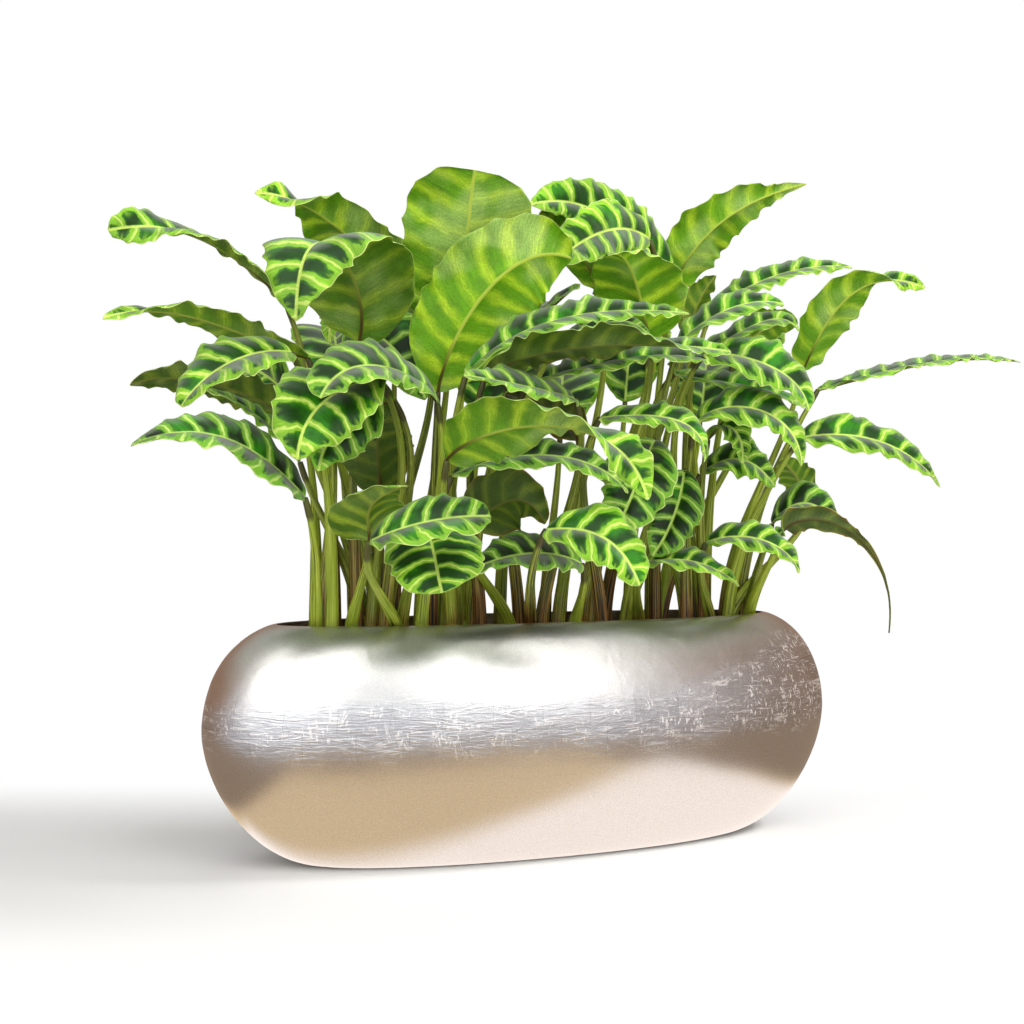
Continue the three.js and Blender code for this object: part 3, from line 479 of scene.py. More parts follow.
def leafy_stem(name, number, materials):
    entries = STEMS[name]
    corners = corners_of("stem_" + name)
    shift = let_out(entries, corners)
    foot = foot_of(corners)
    surface = Surface()
    for i, entry in enumerate(entries):
        knots = knots_of(entry, shift)
        seed = 100 * number + i
        add_stalk(surface, knots, foot, seed)
        add_blade(surface, entry, knots, seed)
    stem = surface.piece("leafy_stem_" + name, materials)
    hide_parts("stem_" + name)
    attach(stem, "root")


# ---- Planter -------------------------------------------------------------------------------------------
PLANTER_COLUMNS = 288
WALL_ROWS, NECK_ROWS, PIT_ROWS = 34, 12, 16  # outside above and below the belly, inside above and in the soil
EDGE_HEIGHTS, EDGE_INSETS = (0, 0.8), (2.5, 0.6)  # mm, the rounding of the foot's edge, which ends 2.5 mm up
PLAIN_ROWS = 4  # at the foot, which the dents leave out
RIM_ROUND = 2.4  # mm, the rounding of the mouth's outer and inner edge
NECK_DEPTH = 12  # mm of the inner wall that is drawn fine under the soil's top
DENT, DENT_SIZE = 0.2, 70  # mm, the unevenness of the hand-laid skin


def oval(height, inset):
    """Half axes of the planter in plan: the wall curves in along a superellipse above and below the belly."""
    above = height > BELLY
    most, reach, fullness, side_share = (np.where(above, over, under) for over, under in zip(SHOULDER, FOOT))
    share = np.clip(np.abs(height - BELLY) / reach, 0, 1)
    pull = most * (1 - (1 - share**fullness) ** (1 / fullness))
    return LENGTH / 2 - pull - inset, WIDTH / 2 - pull * side_share - inset


def round_oval(height, inset, columns):
    """Rings at the heights and insets: half axis x the sign-keeping power 2/squareness of cos and sin."""
    halves, angle = oval(height, inset), turns(columns)
    x, y = (
        half[:, None] * np.sign(way) * np.abs(way) ** (2 / SQUARENESS)
        for half, way in zip(halves, (np.cos(angle), np.sin(angle)))
    )
    return triples(x.shape, x, y, height[:, None])


def eased(low, high, count):
    """Heights that crowd towards both ends, where the wall turns."""
    return low + (high - low) * (1 - np.cos(np.linspace(0, np.pi, count))) / 2


def planter_piece(materials):
    """The planter as one closed skin: up its outside, round the rim, down its inside and across its floor."""
    turn = np.linspace(0, np.pi / 2, 5)[1:]
    top, neck = HEIGHT - RIM_ROUND, SOIL_TOP - NECK_DEPTH
    below, above = eased(EDGE_INSETS[0], BELLY, WALL_ROWS), eased(BELLY, top, WALL_ROWS)[1:]
    outside = np.concatenate([EDGE_HEIGHTS, below, above])
    rim, rim_inset = HEIGHT - RIM_ROUND * (1 - np.sin(turn)), RIM_ROUND * (1 - np.cos(turn))
    inside = np.concatenate([eased(neck, top, NECK_ROWS)[::-1], eased(FLOOR, neck, PIT_ROWS)[::-1][1:]])
    thinning = np.clip((inside - SOIL_TOP) / (HEIGHT - SOIL_TOP), 0, 1)
    height = np.concatenate([outside, rim, rim[::-1], inside])
    outside_inset = np.concatenate([EDGE_INSETS, np.zeros(len(below) + len(above))])
    inset = np.concatenate([outside_inset, rim_inset, LIP - rim_inset[::-1], WALL + (LIP - WALL) * thinning])
    rings = round_oval(height, inset, PLANTER_COLUMNS)
    swell = DENT * unrest(rings, DENT_SIZE, 11) + 0.3 * DENT * unrest(rings, DENT_SIZE / 4, 12)
    swell[:PLAIN_ROWS], swell[len(outside) :] = 0, 0
    rings = rings + unit(rings * [1, 1, 0]) * swell[..., None]

    # The pattern lays the skin out flat: the way round at the belly, the way up the wall, and the side.
    inner = np.arange(len(height)) >= len(outside) + len(rim)
    laid = way_along(rings[WALL_ROWS]), way_along(rings[:, 0])[:, None], inner[:, None]
    sides = np.repeat(inner[:-1], PLANTER_COLUMNS)
    surface = Surface()
    finish = np.concatenate([sides, np.repeat([0, 1], PLANTER_COLUMNS // 2 - 1)])
    surface.add(rings, finish, triples(rings.shape[:2], *laid))
    made = surface.piece("silver_planter", materials)
    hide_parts("planter")
    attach(made, "root")


# ---- Soil ----------------------------------------------------------------------------------------------
SOIL_ROWS, SOIL_COLUMNS = 46, 200
SOIL_CLEAR = 0.4  # mm between it and the planter
LUMPS = (2.6, 42, 21), (1.5, 15, 22), (0.9, 6, 23)  # height and size in mm, seed
CHIPS, CHIP_SIDES, CHIP_ROWS = 420, 8, 5
SMALLEST_CHIP, BIGGEST_CHIP = (3, 2, 1.2), (11, 6, 3.2)  # mm, half axes
CHIP_CLEAR = 8  # mm between the chips' middles and the soil's edge


def soil_piece(material):
    """Crumbly soil with bark in it: a lumpy top, worked out on shrinking ovals, over a plain filling."""
    inset = WALL + SOIL_CLEAR
    below = eased(FLOOR + SOIL_CLEAR, SOIL_TOP - 3, 14)
    sides = round_oval(below, np.full(len(below), inset), SOIL_COLUMNS)
    x, y, z = np.moveaxis(round_oval(np.array([SOIL_TOP]), np.array([inset]), SOIL_COLUMNS), -1, 0)
    shrink = np.linspace(0.995, 0.02, SOIL_ROWS)[:, None]
    top = triples((SOIL_ROWS, SOIL_COLUMNS), x * shrink, y * shrink, z)
    lump = sum(high * unrest(top, size, seed) for high, size, seed in LUMPS)
    top[..., 2] += lump * smooth(1 - shrink, 0.0, 0.06) - 1
    surface = Surface()
    surface.add(np.concatenate([sides, top]), 0)

    draw = np.random.default_rng(31)
    long, short = oval(np.array([SOIL_TOP]), inset + CHIP_CLEAR)
    turn, rise = turns(CHIP_SIDES), np.linspace(-1, 1, CHIP_ROWS)[:, None]
    wide = np.sqrt(1 - 0.92 * rise**2)
    plain = triples((CHIP_ROWS, CHIP_SIDES), wide * np.cos(turn), wide * np.sin(turn), rise)
    for _ in range(CHIPS):
        reach, angle = np.sqrt(draw.uniform(0, 1)), draw.uniform(0, 2 * np.pi)
        middle = np.array([long[0] * reach * np.cos(angle), short[0] * reach * np.sin(angle), SOIL_TOP + 0.5])
        size = draw.uniform(SMALLEST_CHIP, BIGGEST_CHIP)
        chip = plain * size * (1 + draw.uniform(-0.22, 0.22, (CHIP_ROWS, CHIP_SIDES, 1)))
        axis = unit(draw.normal(size=3) * [0.35, 0.35, 1])
        side = square(unit(draw.normal(size=3)), axis)
        chip = chip @ np.stack([side, np.cross(axis, side), axis]) + middle
        surface.add(chip, 0, look=(draw.uniform(0.3, 1), 1.0, 0.0))
    made = surface.piece("potting_soil_bed", [material])
    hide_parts("soil")
    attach(made, "root")


# ---- Materials -----------------------------------------------------------------------------------------
# A noise's scale is in waves to the metre where it reads Object coordinates, so 55 gives blotches some 18 mm
# wide. A ramp lists its value, where it starts and ends, and what it gives there. A pair of greens is that of an
# old leaf, which also paints a leaf in shadow, and that of a fresh one, which also paints a leaf with light shining
# through it.
RAMP, BLEND = ("MapRange", {"interpolation_type": "SMOOTHSTEP"}), ("Mix", {"data_type": "RGBA"})
PLUS, MINUS, TIMES, TIMES_PLUS, GREATER = (
    ("Math", {"operation": name}) for name in ("ADD", "SUBTRACT", "MULTIPLY", "MULTIPLY_ADD", "MAXIMUM")
)
UPPER_GREENS = ("#a6c65e", "#d2e66a"), ("#629628", "#92c62c"), ("#264c10", "#3c860e"), ("#101f06", "#1e500a")
UNDER_GREENS = ("#2e3612", "#649c0c"), ("#48531e", "#c2e430"), ("#2c2410", "#b9cc4a")
SHEET = 58.0  # mm, side of one sheet of silver leaf
BELT_HEIGHT, BELT_EDGES = 0.18, (0.042, 0.01)  # m, its middle, and where it starts and is full on both sides
SILVER, SILVER_SEAMS = "#cfcdc8", "#5c5852"
INSIDE, INSIDE_SEAMS = "#e8dac0", "#9d9280"
WHITE = "#ffffff"


def linear(code):
    """The linear colour of an sRGB hex value."""
    channels = np.array([int(code[i : i + 2], 16) for i in (1, 3, 5)]) / 255
    bent = np.where(channels <= 0.04045, channels / 12.92, ((channels + 0.055) / 1.055) ** 2.4)
    return (*bent.tolist(), 1.0)


def add(tree, kind, inputs, **settings):
    """Adds a node with its settings; kind may bring some. Its inputs, by name or in the order of its open sockets,
    are outputs of other nodes to link, sRGB hex colours or plain values. Gives its outputs, or the only one."""
    kind, usual = kind if isinstance(kind, tuple) else (kind, {})
    made = tree.nodes.new("ShaderNode" + kind)
    for name, value in {**usual, **settings}.items():
        setattr(made, name, value)
    by_name = isinstance(inputs, dict)
    sockets = made.inputs if by_name else [socket for socket in made.inputs if socket.enabled]
    for key, value in inputs.items() if by_name else enumerate(inputs):
        if isinstance(value, bpy.types.NodeSocket):
            tree.links.new(value, sockets[key])
        else:
            sockets[key].default_value = linear(value) if isinstance(value, str) else value
    given = [socket for socket in made.outputs if socket.enabled]
    return given[0] if len(given) == 1 else made.outputs


def fresh_material(name):
    material = bpy.data.materials.new(name)
    material.use_nodes = True
    material.node_tree.nodes.clear()
    return material, partial(add, material.node_tree)


def leaf_places(put):
    """Where a spot lies in the leaf's drawing: away from the nearest light stripe's middle (0 to 0.5 of their
    spacing), off the midrib and from the margin in mm, and along the leaf; the leaf's tone; two noises, one that goes
    from stripe to stripe and one of fine streaks that run along the side veins; and the spot itself."""
    phase, rib, margin = put("SeparateXYZ", [put("Attribute", {}, attribute_name="pattern")["Vector"]])
    tone, seed, along_leaf = put("SeparateXYZ", [put("Attribute", {}, attribute_name="look")["Vector"]])
    spot = put("TexCoord", {})["Object"]
    broad = put("TexNoise", {"Vector": spot, "Scale": 55.0, "Detail": 3.0})["Fac"]
    swayed = put(TIMES_PLUS, [broad, 0.5, phase])
    away = put("Math", [swayed, 0.5], operation="PINGPONG")
    off = put("Math", [rib], operation="ABSOLUTE")
    drawn = put("CombineXYZ", [phase, rib, seed])
    each = put("Mapping", {"Vector": drawn, "Scale": (0.9, 0.004, 60.0)})
    each = put("TexNoise", {"Vector": each, "Scale": 1.0, "Detail": 1.0})["Fac"]
    streak = put("Mapping", {"Vector": drawn, "Scale": (26.0, 0.06, 90.0)})
    streak = put("TexNoise", {"Vector": streak, "Scale": 1.0, "Detail": 4.0, "Roughness": 0.65})["Fac"]
    return away, off, margin, along_leaf, tone, each, streak, spot


def waxy_skin(put, colour, streak, rough, relief, gloss):
    """The skin of a leaf or stalk: its roughness follows the streaks, which also stand out a little."""
    raised = put("Bump", {"Height": streak, **relief})
    rough = put("MapRange", [streak, 0, 1, *rough])
    shader = put("BsdfPrincipled", {"Base Color": colour, "Roughness": rough, "Normal": raised, **gloss})
    put("OutputMaterial", {"Surface": shader})


def leaf_upper():
    """Calathea leaf, upper side: a living cuticle over velvety cells, which gives a soft gloss. A grey painted sheen
    lies on the dark fields where the leaf is seen at a grazing angle, and patches of vivid green paint light shining
    through the dark fields. Light stripes follow the side veins, the fields between them end round short of the
    margin, and the edge is thin and pale."""
    material, put = fresh_material("calathea_leaf_upper")
    away, off, margin, _, tone, each, streak, spot = leaf_places(put)
    # A light stripe takes a third of the room at the midrib and more of it towards the margin.
    breadth = put(RAMP, [margin, 26, 4, 0.13, 0.25])
    breadth = put(TIMES, [breadth, put("MapRange", [each, 0.3, 0.7, 0.7, 1.35])])
    frayed = put(MINUS, [put(TIMES_PLUS, [streak, 0.09, away]), 0.045])
    soft = put(PLUS, [breadth, 0.06])
    ending = put(RAMP, [away, 0.1, 0.5, 8.5, 3.2])
    # Every field has a light wedge that runs in from the margin.
    wedge = put(TIMES, [put(RAMP, [away, 0.37, 0.48]), put(RAMP, [margin, 15, 5, 0, 0.6])])
    field = put(RAMP, [frayed, breadth, soft])
    short = put(RAMP, [margin, ending, put(PLUS, [ending, 2.6])])
    for within in short, put(RAMP, [off, 0.8, 2.4]), put(MINUS, [1, wedge]):
        field = put(TIMES, [field, within])

    patch = put("TexNoise", {"Vector": spot, "Scale": 24.0, "Detail": 3.0})["Fac"]
    core, flank, shore, deep = (put(BLEND, [tone, old, fresh]) for old, fresh in UPPER_GREENS)
    stripe = put(BLEND, [put(RAMP, [away, 0.02, 0.09]), core, flank])
    stripe = put(BLEND, [put(RAMP, [off, 2.2, 1.1]), stripe, core])
    inner = put(RAMP, [put(MINUS, [frayed, soft]), -0.02, 0.1])
    dark = put(BLEND, [inner, shore, deep])
    # Painted glow: patches where the dark fields turn vivid green stand in for light shining through the leaf.
    painted_glow = put(RAMP, [patch, 0.5, 0.68, 0, 0.8])
    dark = put(BLEND, [painted_glow, dark, "#2c7a0a"])
    colour = put(BLEND, [field, stripe, dark])
    # Blotches some 4 cm wide and fine streaks along the veins keep the green from being even.
    blotch = put("MapRange", [patch, 0.3, 0.7, 0.7, 1.3])
    shade = put(TIMES, [blotch, put("MapRange", [streak, 0.3, 0.7, 0.66, 1.34])])
    colour = put("VectorMath", [colour, shade], operation="SCALE")
    # Painted sheen: grey-green mixed into the colour where the leaf is seen at a grazing angle, most on the dark
    # fields, stands in for the bright studio mirrored in the velvety skin.
    facing = put("LayerWeight", {"Blend": 0.55})["Facing"]
    painted_sheen = put(RAMP, [facing, 0.26, 0.86, 0, 0.72])
    for varied in [field, 0, 1, 0.4, 1], [streak, 0.3, 0.7, 0.6, 1.2]:
        painted_sheen = put(TIMES, [painted_sheen, put("MapRange", varied)])
    edge = put(RAMP, [margin, 1.3, 0.4, 0, 0.85])
    for share, tint in (painted_sheen, "#8f958a"), (edge, "#cfe08a"):
        colour = put(BLEND, [share, colour, tint])
    relief = {"Strength": 0.4, "Distance": 0.0006}
    waxy_skin(put, colour, streak, (0.38, 0.55), relief, {"IOR": 1.45, "Specular IOR Level": 0.3})
    return material


def leaf_under():
    """Calathea leaf, underside: matt and waxy, dark olive on old leaves and yellow-green on fresh ones, the tone also
    painting shade on leaves in shadow and light shining through lit ones. The stripes come through as soft patches
    of painted light shining through the leaf, pale patches of painted sheen lie on fresh leaves, a fine grain runs
    beside the side veins, and the midrib is brown at the collar."""
    material, put = fresh_material("calathea_leaf_underside")
    away, off, margin, along_leaf, tone, each, streak, spot = leaf_places(put)
    colour, light, rib = (put(BLEND, [tone, old, fresh]) for old, fresh in UNDER_GREENS)
    cloud = put("TexNoise", {"Vector": spot, "Scale": 30.0, "Detail": 3.0})["Fac"]
    wide = put("TexNoise", {"Vector": spot, "Scale": 13.0, "Detail": 2.0})["Fac"]
    # Cells in groups 1.4 mm wide, drawn coarser than they are so that they show.
    grain = put("TexNoise", {"Vector": spot, "Scale": 700.0, "Detail": 2.0})["Fac"]
    # The stripes are painted light shining through the leaf; they show best where the cloud lets them through.
    through = put(RAMP, [cloud, 0.36, 0.6, 0.36, 1])
    through = put(TIMES, [through, put("MapRange", [each, 0.3, 0.7, 0.5, 1.1])])
    stripe = put(TIMES, [put(RAMP, [away, 0.36, 0.04]), through])
    vein = put(RAMP, [away, 0.05, 0.015, 0, 0.4])
    # Pale patches of painted sheen stand in for glare off the waxy skin of fresh leaves.
    painted_sheen_patch = put(TIMES, [put(RAMP, [wide, 0.48, 0.66, 0, 0.34]), tone])
    for share, tint in (stripe, light), (vein, light), (painted_sheen_patch, "#ccdc8e"):
        colour = put(BLEND, [share, colour, tint])
    shade = put("MapRange", [cloud, 0.3, 0.7, 1.2, 0.84])
    for noise, least, most in (streak, 0.74, 1.22), (grain, 0.8, 1.2):
        shade = put(TIMES, [shade, put("MapRange", [noise, 0.3, 0.7, least, most])])
    colour = put("VectorMath", [colour, shade], operation="SCALE")
    # An old leaf has a scorched edge here and there.
    old = put("MapRange", [tone, 0.3, 0.1, 0, 0.7])
    at_edge = put(RAMP, [margin, 5, 1])
    scorched = put(TIMES, [at_edge, put(TIMES, [old, through])])
    pale = put(RAMP, [margin, 1, 0.3, 0, 0.6])
    rib = put(BLEND, [put(RAMP, [along_leaf, 0.32, 0.08]), rib, "#4a3010"])
    on_rib = put(RAMP, [off, 2.5, 1.2, 0, 0.92])
    for share, tint in (scorched, "#8a5a22"), (pale, "#b4c060"), (on_rib, rib):
        colour = put(BLEND, [share, colour, tint])
    relief = {"Strength": 0.45, "Distance": 0.0007}
    waxy_skin(put, colour, streak, (0.42, 0.6), relief, {"IOR": 1.43, "Specular IOR Level": 0.3})
    return material


def leaf_stalk():
    """Calathea leaf stalk: ribbed and slightly glossy, brown where old sheaths wrap its foot, olive to yellow-green
    above, and dark at the swollen joint."""
    material, put = fresh_material("calathea_leaf_stalk")
    stored = put("Attribute", {}, attribute_name="pattern")["Vector"]
    climbed, left, tone = put("SeparateXYZ", [put("Attribute", {}, attribute_name="look")["Vector"]])
    # Streaks 1.5 mm wide and some 80 mm long run up the stalk.
    tall = put("Mapping", {"Vector": stored, "Scale": (0.7, 0.7, 0.012)})
    streak = put("TexNoise", {"Vector": tall, "Scale": 1.0, "Detail": 4.0, "Roughness": 0.6})["Fac"]
    cloud = put("Mapping", {"Vector": stored, "Scale": (0.08, 0.08, 0.02)})
    broad = put("TexNoise", {"Vector": cloud, "Scale": 1.0, "Detail": 2.0})["Fac"]
    pale = put(RAMP, [streak, 0.5, 0.62, 0, 0.8])
    brown = put(BLEND, [put(RAMP, [streak, 0.4, 0.6]), "#281608", "#a0743a"])
    # Half of the stalks are brown for the lower half, the others at the foot alone.
    climb = put(TIMES_PLUS, [broad, 0.5, climbed])
    climb = put(TIMES_PLUS, [tone, 0.4, climb])
    aged = put(RAMP, [climb, 0.8, 0.4])
    # Near-black streaks run along the stalk.
    dark_streak = put(RAMP, [streak, 0.44, 0.36, 0, 0.75])
    joint = put(RAMP, [left, 30, 20, 0, 0.85])
    colour = put(BLEND, [tone, "#525f12", "#9cb22a"])
    for share, tint in (pale, "#c2c955"), (aged, brown), (dark_streak, "#151006"), (joint, "#3a3418"):
        colour = put(BLEND, [share, colour, tint])
    waxy_skin(put, colour, streak, (0.34, 0.62), {"Strength": 0.6, "Distance": 0.0009}, {"IOR": 1.45})
    return material


def silver_leaf(name, metal, bright, seams):
    """Silver-coloured leaf laid by hand in square sheets on a moulded composite pot, then lacquered: a satin mirror,
    a belt of fine wrinkles and torn white flecks round the widest part, where the sheets show as squares, and a
    smooth lower half."""
    material, put = fresh_material(name)
    stored = put("Attribute", {}, attribute_name="pattern")["Vector"]
    spot = put("TexCoord", {})["Object"]
    x, _, height = put("SeparateXYZ", [spot])
    sway = put("TexNoise", {"Vector": spot, "Scale": 20.0, "Detail": 4.0})
    swayed = put("VectorMath", [sway["Color"], (6.0, 6.0, 0.0), stored], operation="MULTIPLY_ADD")
    squares = {"Scale": 1.0, "Mortar Size": 0.5, "Mortar Smooth": 0.6, "Brick Width": SHEET, "Row Height": SHEET}
    ends = {"Color1": "#000000", "Color2": WHITE, "Mortar": (0.5, 0.5, 0.5, 1.0)}
    sheet, seam = put("TexBrick", {"Vector": swayed, **squares, **ends}, offset=0.37)
    sheet = put("SeparateColor", [sheet])[0]
    # The belt lies about 165 mm up, is some 60 mm tall, and climbs to the rim at the right-hand end.
    wandering = put(TIMES_PLUS, [sway["Fac"], 0.03, height])
    from_belt = put("Math", [put(MINUS, [wandering, BELT_HEIGHT])], operation="ABSOLUTE")
    end = put(RAMP, [x, 0.08, 0.36, 0, 0.06])
    above = put(RAMP, [wandering, 0.16, 0.2])
    from_belt = put(MINUS, [from_belt, put(TIMES, [end, above])])
    belt = put(RAMP, [from_belt, *BELT_EDGES])
    # Wrinkles 40 mm long and 6 mm apart, almost level; flecks 20 mm long that lean, in clusters.
    level = put("Mapping", {"Vector": swayed, "Scale": (0.026, 0.17, 1.0), "Rotation": (0.0, 0.0, 0.08)})
    wrinkle = put("TexNoise", {"Vector": level, "Scale": 1.0, "Detail": 4.0, "Distortion": 1.8})["Fac"]
    leaning = put("Mapping", {"Vector": swayed, "Scale": (0.12, 0.05, 1.0), "Rotation": (0.0, 0.0, 0.6)})
    fleck = put("TexNoise", {"Vector": leaning, "Scale": 1.0, "Detail": 4.0, "Distortion": 3.0})["Fac"]
    cloud = put("TexNoise", {"Vector": spot, "Scale": 26.0, "Detail": 6.0, "Distortion": 1.0})["Fac"]
    grain = put("TexNoise", {"Vector": spot, "Scale": 620.0, "Detail": 3.0})["Fac"]

    tint = put("Mix", [above, 1, put("MapRange", [cloud, 0.3, 0.7, 0.94, 1.05])])
    each = put("Mix", [belt, 1, put("MapRange", [sheet, 0, 1, 0.94, 1.16])])
    for varied in each, put("MapRange", [grain, 0.3, 0.7, 0.91, 1.07]):
        tint = put(TIMES, [tint, varied])
    colour = put("VectorMath", [linear(bright)[:3], tint], operation="SCALE")
    cool = put(TIMES, [belt, 0.4])
    light = put(RAMP, [fleck, 0.56, 0.62, 0, 0.9])
    thin = put(RAMP, [wrinkle, 0.57, 0.66, 0, 0.6])
    cluster = put(RAMP, [put(TIMES_PLUS, [end, 1, cloud]), 0.47, 0.6])
    light = put(GREATER, [put(TIMES, [light, cluster]), thin])
    light = put(TIMES, [light, belt])
    # Torn flecks are matt, so they stay white where the pot mirrors something dark.
    mirror = put("MapRange", [light, 0, 1, metal, 0.6 * metal])
    # Painted shade: the hollows of the wrinkles in the belt are darkened towards the seam colour.
    painted_crease_shade = put(TIMES, [put(RAMP, [wrinkle, 0.46, 0.3, 0, 0.16]), belt])
    lap = put(TIMES, [seam, put("MapRange", [belt, 0, 1, 0.03, 0.3])])
    for share, laid in (cool, "#b9bcc4"), (light, "#f6f2ec"), (painted_crease_shade, seams), (lap, seams):
        colour = put(BLEND, [share, colour, laid])
    rough = put(TIMES_PLUS, [belt, 0.08, put("Mix", [above, 0.25, 0.34])])
    relief = put(TIMES_PLUS, [fleck, 0.3, wrinkle])
    relief = put(TIMES, [relief, put("MapRange", [belt, 0, 1, 0.03, 1])])
    relief = put(TIMES_PLUS, [put(TIMES, [cloud, above]), 0.6, relief])
    relief = put(TIMES_PLUS, [grain, 0.04, relief])
    bump = put("Bump", {"Strength": 0.55, "Distance": 0.0013, "Height": relief})
    finish = {"Base Color": colour, "Roughness": rough, "Normal": bump, "Metallic": mirror}
    put("OutputMaterial", {"Surface": put("BsdfPrincipled", finish)})
    return material


def potting_soil():
    """Peat and bark potting soil: dull, crumbly and nearly black where damp, with brown chips."""
    material, put = fresh_material("peat_and_bark_soil")
    tone, chip, _ = put("SeparateXYZ", [put("Attribute", {}, attribute_name="look")["Vector"]])
    spot = put("TexCoord", {})["Object"]
    crumb = put("TexNoise", {"Vector": spot, "Scale": 330.0, "Detail": 6.0})["Fac"]
    peat = put(BLEND, [crumb, "#17100a", "#4a3626"])
    bark = put(BLEND, [tone, "#3a2415", "#8a6444"])
    colour = put(BLEND, [chip, peat, bark])
    bump = put("Bump", {"Strength": 0.8, "Distance": 0.002, "Height": crumb})
    finish = {"Base Color": colour, "Roughness": 0.93, "Normal": bump}
    put("OutputMaterial", {"Surface": put("BsdfPrincipled", finish)})
    return material


# ---- The setting ---------------------------------------------------------------------------------------
AMBIENT = 0.2  # strength of the studio's stray light on matt surfaces
MIRROR_GAIN = 1.6  # the silver skin gives back 0.62 of what it mirrors
FLOOR_REACH = 14.0  # m
LAMPS_AIM = 0.25  # m, the height that the soft boxes face
FLOOR_BEIGE, FLOOR_PAPER = "#cdb697", (0.93, 0.83, 0.79, 1.0)
FLOOR_BROWN, WALL_BROWN = (0.25, 0.185, 0.14, 1.0), (0.24, 0.145, 0.1, 1.0)
AIR_GREY, CEILING_GREY = (0.5, 0.515, 0.57, 1.0), (0.36, 0.375, 0.35, 1.0)


def camera():
    data = bpy.data.cameras.new("standpoint")
    data.sensor_width = SENSOR
    data.lens = FOCAL * SENSOR / PICTURE
    data.clip_end = 60
    made = bpy.data.objects.new("standpoint", data)
    made.location = EYE * MM
    made.rotation_euler = (np.pi / 2, 0, -TURN)
    bpy.context.collection.objects.link(made)
    bpy.context.scene.camera = made


def mirrored_alone(put):
    """1 where a mirror looks straight at the studio, 0 for the light on matt surfaces; and 1 for the camera."""
    path = put("LightPath", {})
    before_matt = put("Math", [path["Diffuse Depth"], 0.5], operation="LESS_THAN")
    return put(TIMES, [path["Is Glossy Ray"], before_matt]), path["Is Camera Ray"]


def floor():
    """A plain white studio floor that runs out into pure white. The planter mirrors it as a bright sheet of paper
    that ends before it and at its right-hand end, then beige floor, then brown, then grey in the distance."""
    mesh = bpy.data.meshes.new("studio_floor")
    corners = [(x * FLOOR_REACH, y * FLOOR_REACH, 0) for x, y in ((-1, -1), (1, -1), (1, 1), (-1, 1))]
    mesh.from_pydata(corners, [], [(0, 1, 2, 3)])
    material, put = fresh_material("matt_white_paper")
    spot = put("TexCoord", {})["Object"]
    mirrored, seen = mirrored_alone(put)
    paper = put("BsdfPrincipled", {"Base Color": "#f6f4f2", "Roughness": 0.9})
    white = put("Emission", {"Color": WHITE})
    far = put("VectorMath", [spot], operation="LENGTH")
    aside, before = (
        put("VectorMath", [spot, tuple(way)], operation="DOT_PRODUCT") for way in (RIGHT, -AHEAD)
    )
    beyond = put(RAMP, [far, 0.75, 1.5])
    beyond = put(GREATER, [beyond, put(RAMP, [before, -0.05, -0.42])])
    beyond = put(TIMES, [seen, beyond])
    plain = put("MixShader", [beyond, paper, white])
    # How far out from the planter a spot lies, in metres: before it, or past its right or left end.
    ends = [put(TIMES_PLUS, [aside, slope, start]) for slope, start in ((2.6, -0.65), (-4.0, -1.32))]
    wide = put(GREATER, [put(GREATER, ends), 0])
    away = put(PLUS, [put(GREATER, [before, 0]), wide])
    grey = put(RAMP, [away, 0.62, 0.85])
    grey = put(TIMES, [grey, put(RAMP, [before, 0.3, 0.8])])
    # How far inside its front, right and left edges the paper covers a spot.
    edge = put(MINUS, [put(TIMES_PLUS, [aside, 0.12, 0.175]), before])
    for inside in put(MINUS, [0.4, aside]), put(PLUS, [aside, 0.37]):
        edge = put("Math", [edge, inside], operation="MINIMUM")
    colour = FLOOR_BEIGE
    for share, tint in (
        (put(RAMP, [away, 0.33, 0.55]), FLOOR_BROWN),
        (grey, AIR_GREY),
        (put(RAMP, [edge, -0.03, 0.03]), FLOOR_PAPER),
    ):
        colour = put(BLEND, [share, colour, tint])
    image = put("Emission", {"Color": colour, "Strength": MIRROR_GAIN})
    put("OutputMaterial", {"Surface": put("MixShader", [mirrored, plain, image])})
    mesh.materials.append(material)
    made = bpy.data.objects.new("studio_floor", mesh)
    bpy.context.collection.objects.link(made)


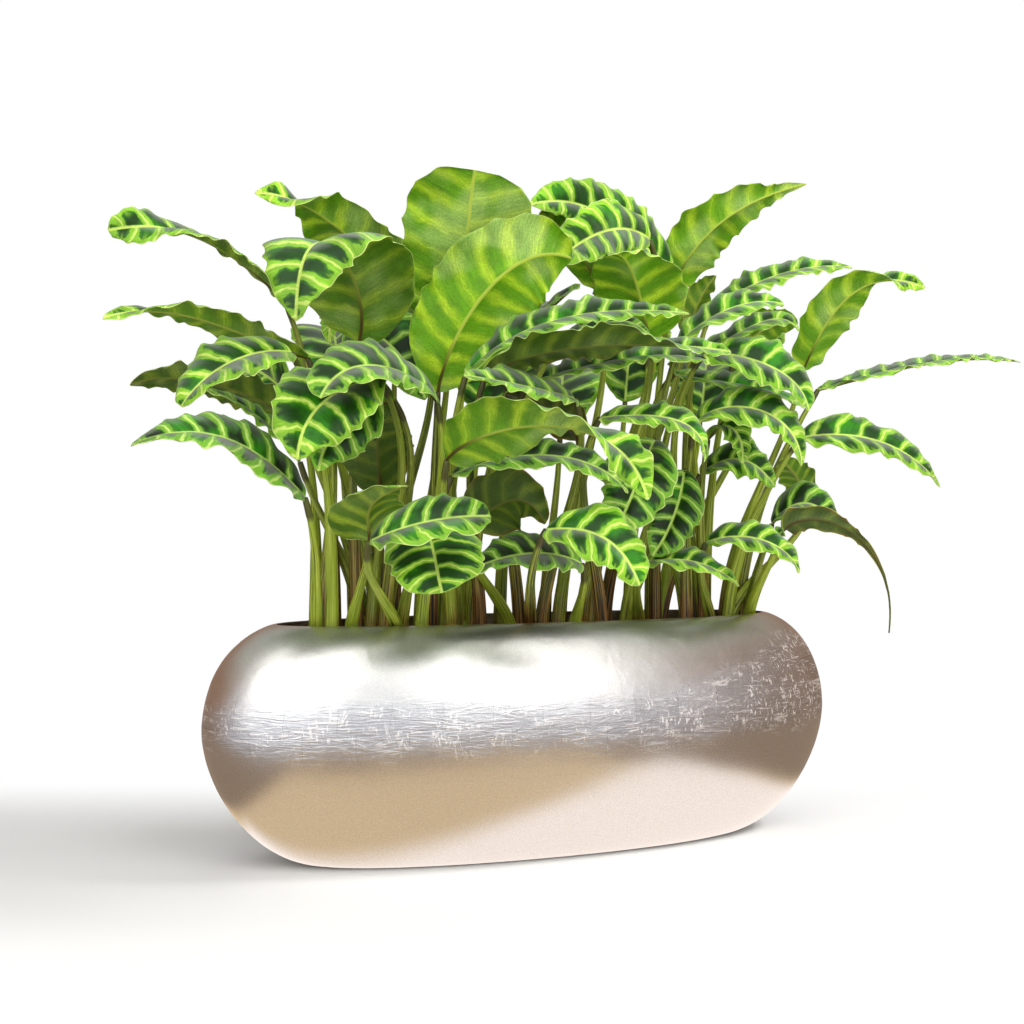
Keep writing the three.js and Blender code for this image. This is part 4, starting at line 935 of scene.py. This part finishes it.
def room():
    """White studio air: white behind the object, dim to matt surfaces, and in reflections a silver-grey front and
    ceiling and brown walls at the sides and the back."""
    world = bpy.data.worlds.new("white_studio")
    world.use_nodes = True
    world.node_tree.nodes.clear()
    put = partial(add, world.node_tree)
    mirrored, seen = mirrored_alone(put)
    direction = put("TexCoord", {})["Generated"]
    ahead = put("VectorMath", [direction, tuple(AHEAD)], operation="DOT_PRODUCT")
    up = put("SeparateXYZ", [direction])["Z"]
    walls = put(BLEND, [put(RAMP, [ahead, -0.2, -0.75]), WALL_BROWN, AIR_GREY])
    walls = put(BLEND, [put(RAMP, [up, 0.3, 0.85]), walls, CEILING_GREY])
    image = put("Background", {"Color": walls, "Strength": MIRROR_GAIN})
    white, dim = (put("Background", {"Color": WHITE, "Strength": strength}) for strength in (1.0, AMBIENT))
    plain = put("MixShader", [seen, dim, white])
    put("OutputWorld", {"Surface": put("MixShader", [mirrored, plain, image])})
    bpy.context.scene.world = world


def lamp(name, aside, high, distance, size, power, mirrored=True):
    """A soft box that faces the plant from a distance in metres, so many degrees aside of the standpoint and high.
    size is its width and height in metres, power is in watts, and reflections may leave it out."""
    data = bpy.data.lights.new(name, "AREA")
    data.shape = "RECTANGLE"
    data.size, data.size_y = size
    data.energy = power
    made = bpy.data.objects.new(name, data)
    turned, raised = np.radians(aside), np.radians(high)
    back = (RIGHT * np.sin(turned) - AHEAD * np.cos(turned)) * np.cos(raised) + UP * np.sin(raised)
    side = unit(np.cross(UP, back))
    matrix = np.eye(4)
    matrix[:3, :3] = np.stack([side, np.cross(back, side), back], axis=1)
    matrix[:3, 3] = back * distance + UP * LAMPS_AIM
    made.matrix_world = matrix.T.tolist()
    made.visible_glossy = mirrored
    bpy.context.collection.objects.link(made)


# ---- The whole -----------------------------------------------------------------------------------------
camera()
leaf_materials = [leaf_upper(), leaf_under(), leaf_stalk()]
for number, name in enumerate(STEMS):
    leafy_stem(name, number, leaf_materials)
outside = silver_leaf("silver_leaf_on_composite", 1.0, SILVER, SILVER_SEAMS)
inside = silver_leaf("silver_leaf_inside", 0.15, INSIDE, INSIDE_SEAMS)
planter_piece([outside, inside])
soil_piece(potting_soil())
floor()
room()
lamp("left_soft_box", -24, 33, 2.4, (1.9, 2.8), 36)
lamp("front_soft_box", 35, 33, 2.6, (1.6, 3.0), 34)
lamp("right_soft_box", 85, 42, 2.9, (0.8, 0.8), 48, mirrored=False)
lamp("top_soft_box", 180, 75, 2.8, (1.2, 1.2), 16, mirrored=False)
bpy.context.scene.view_settings.view_transform = "Standard"
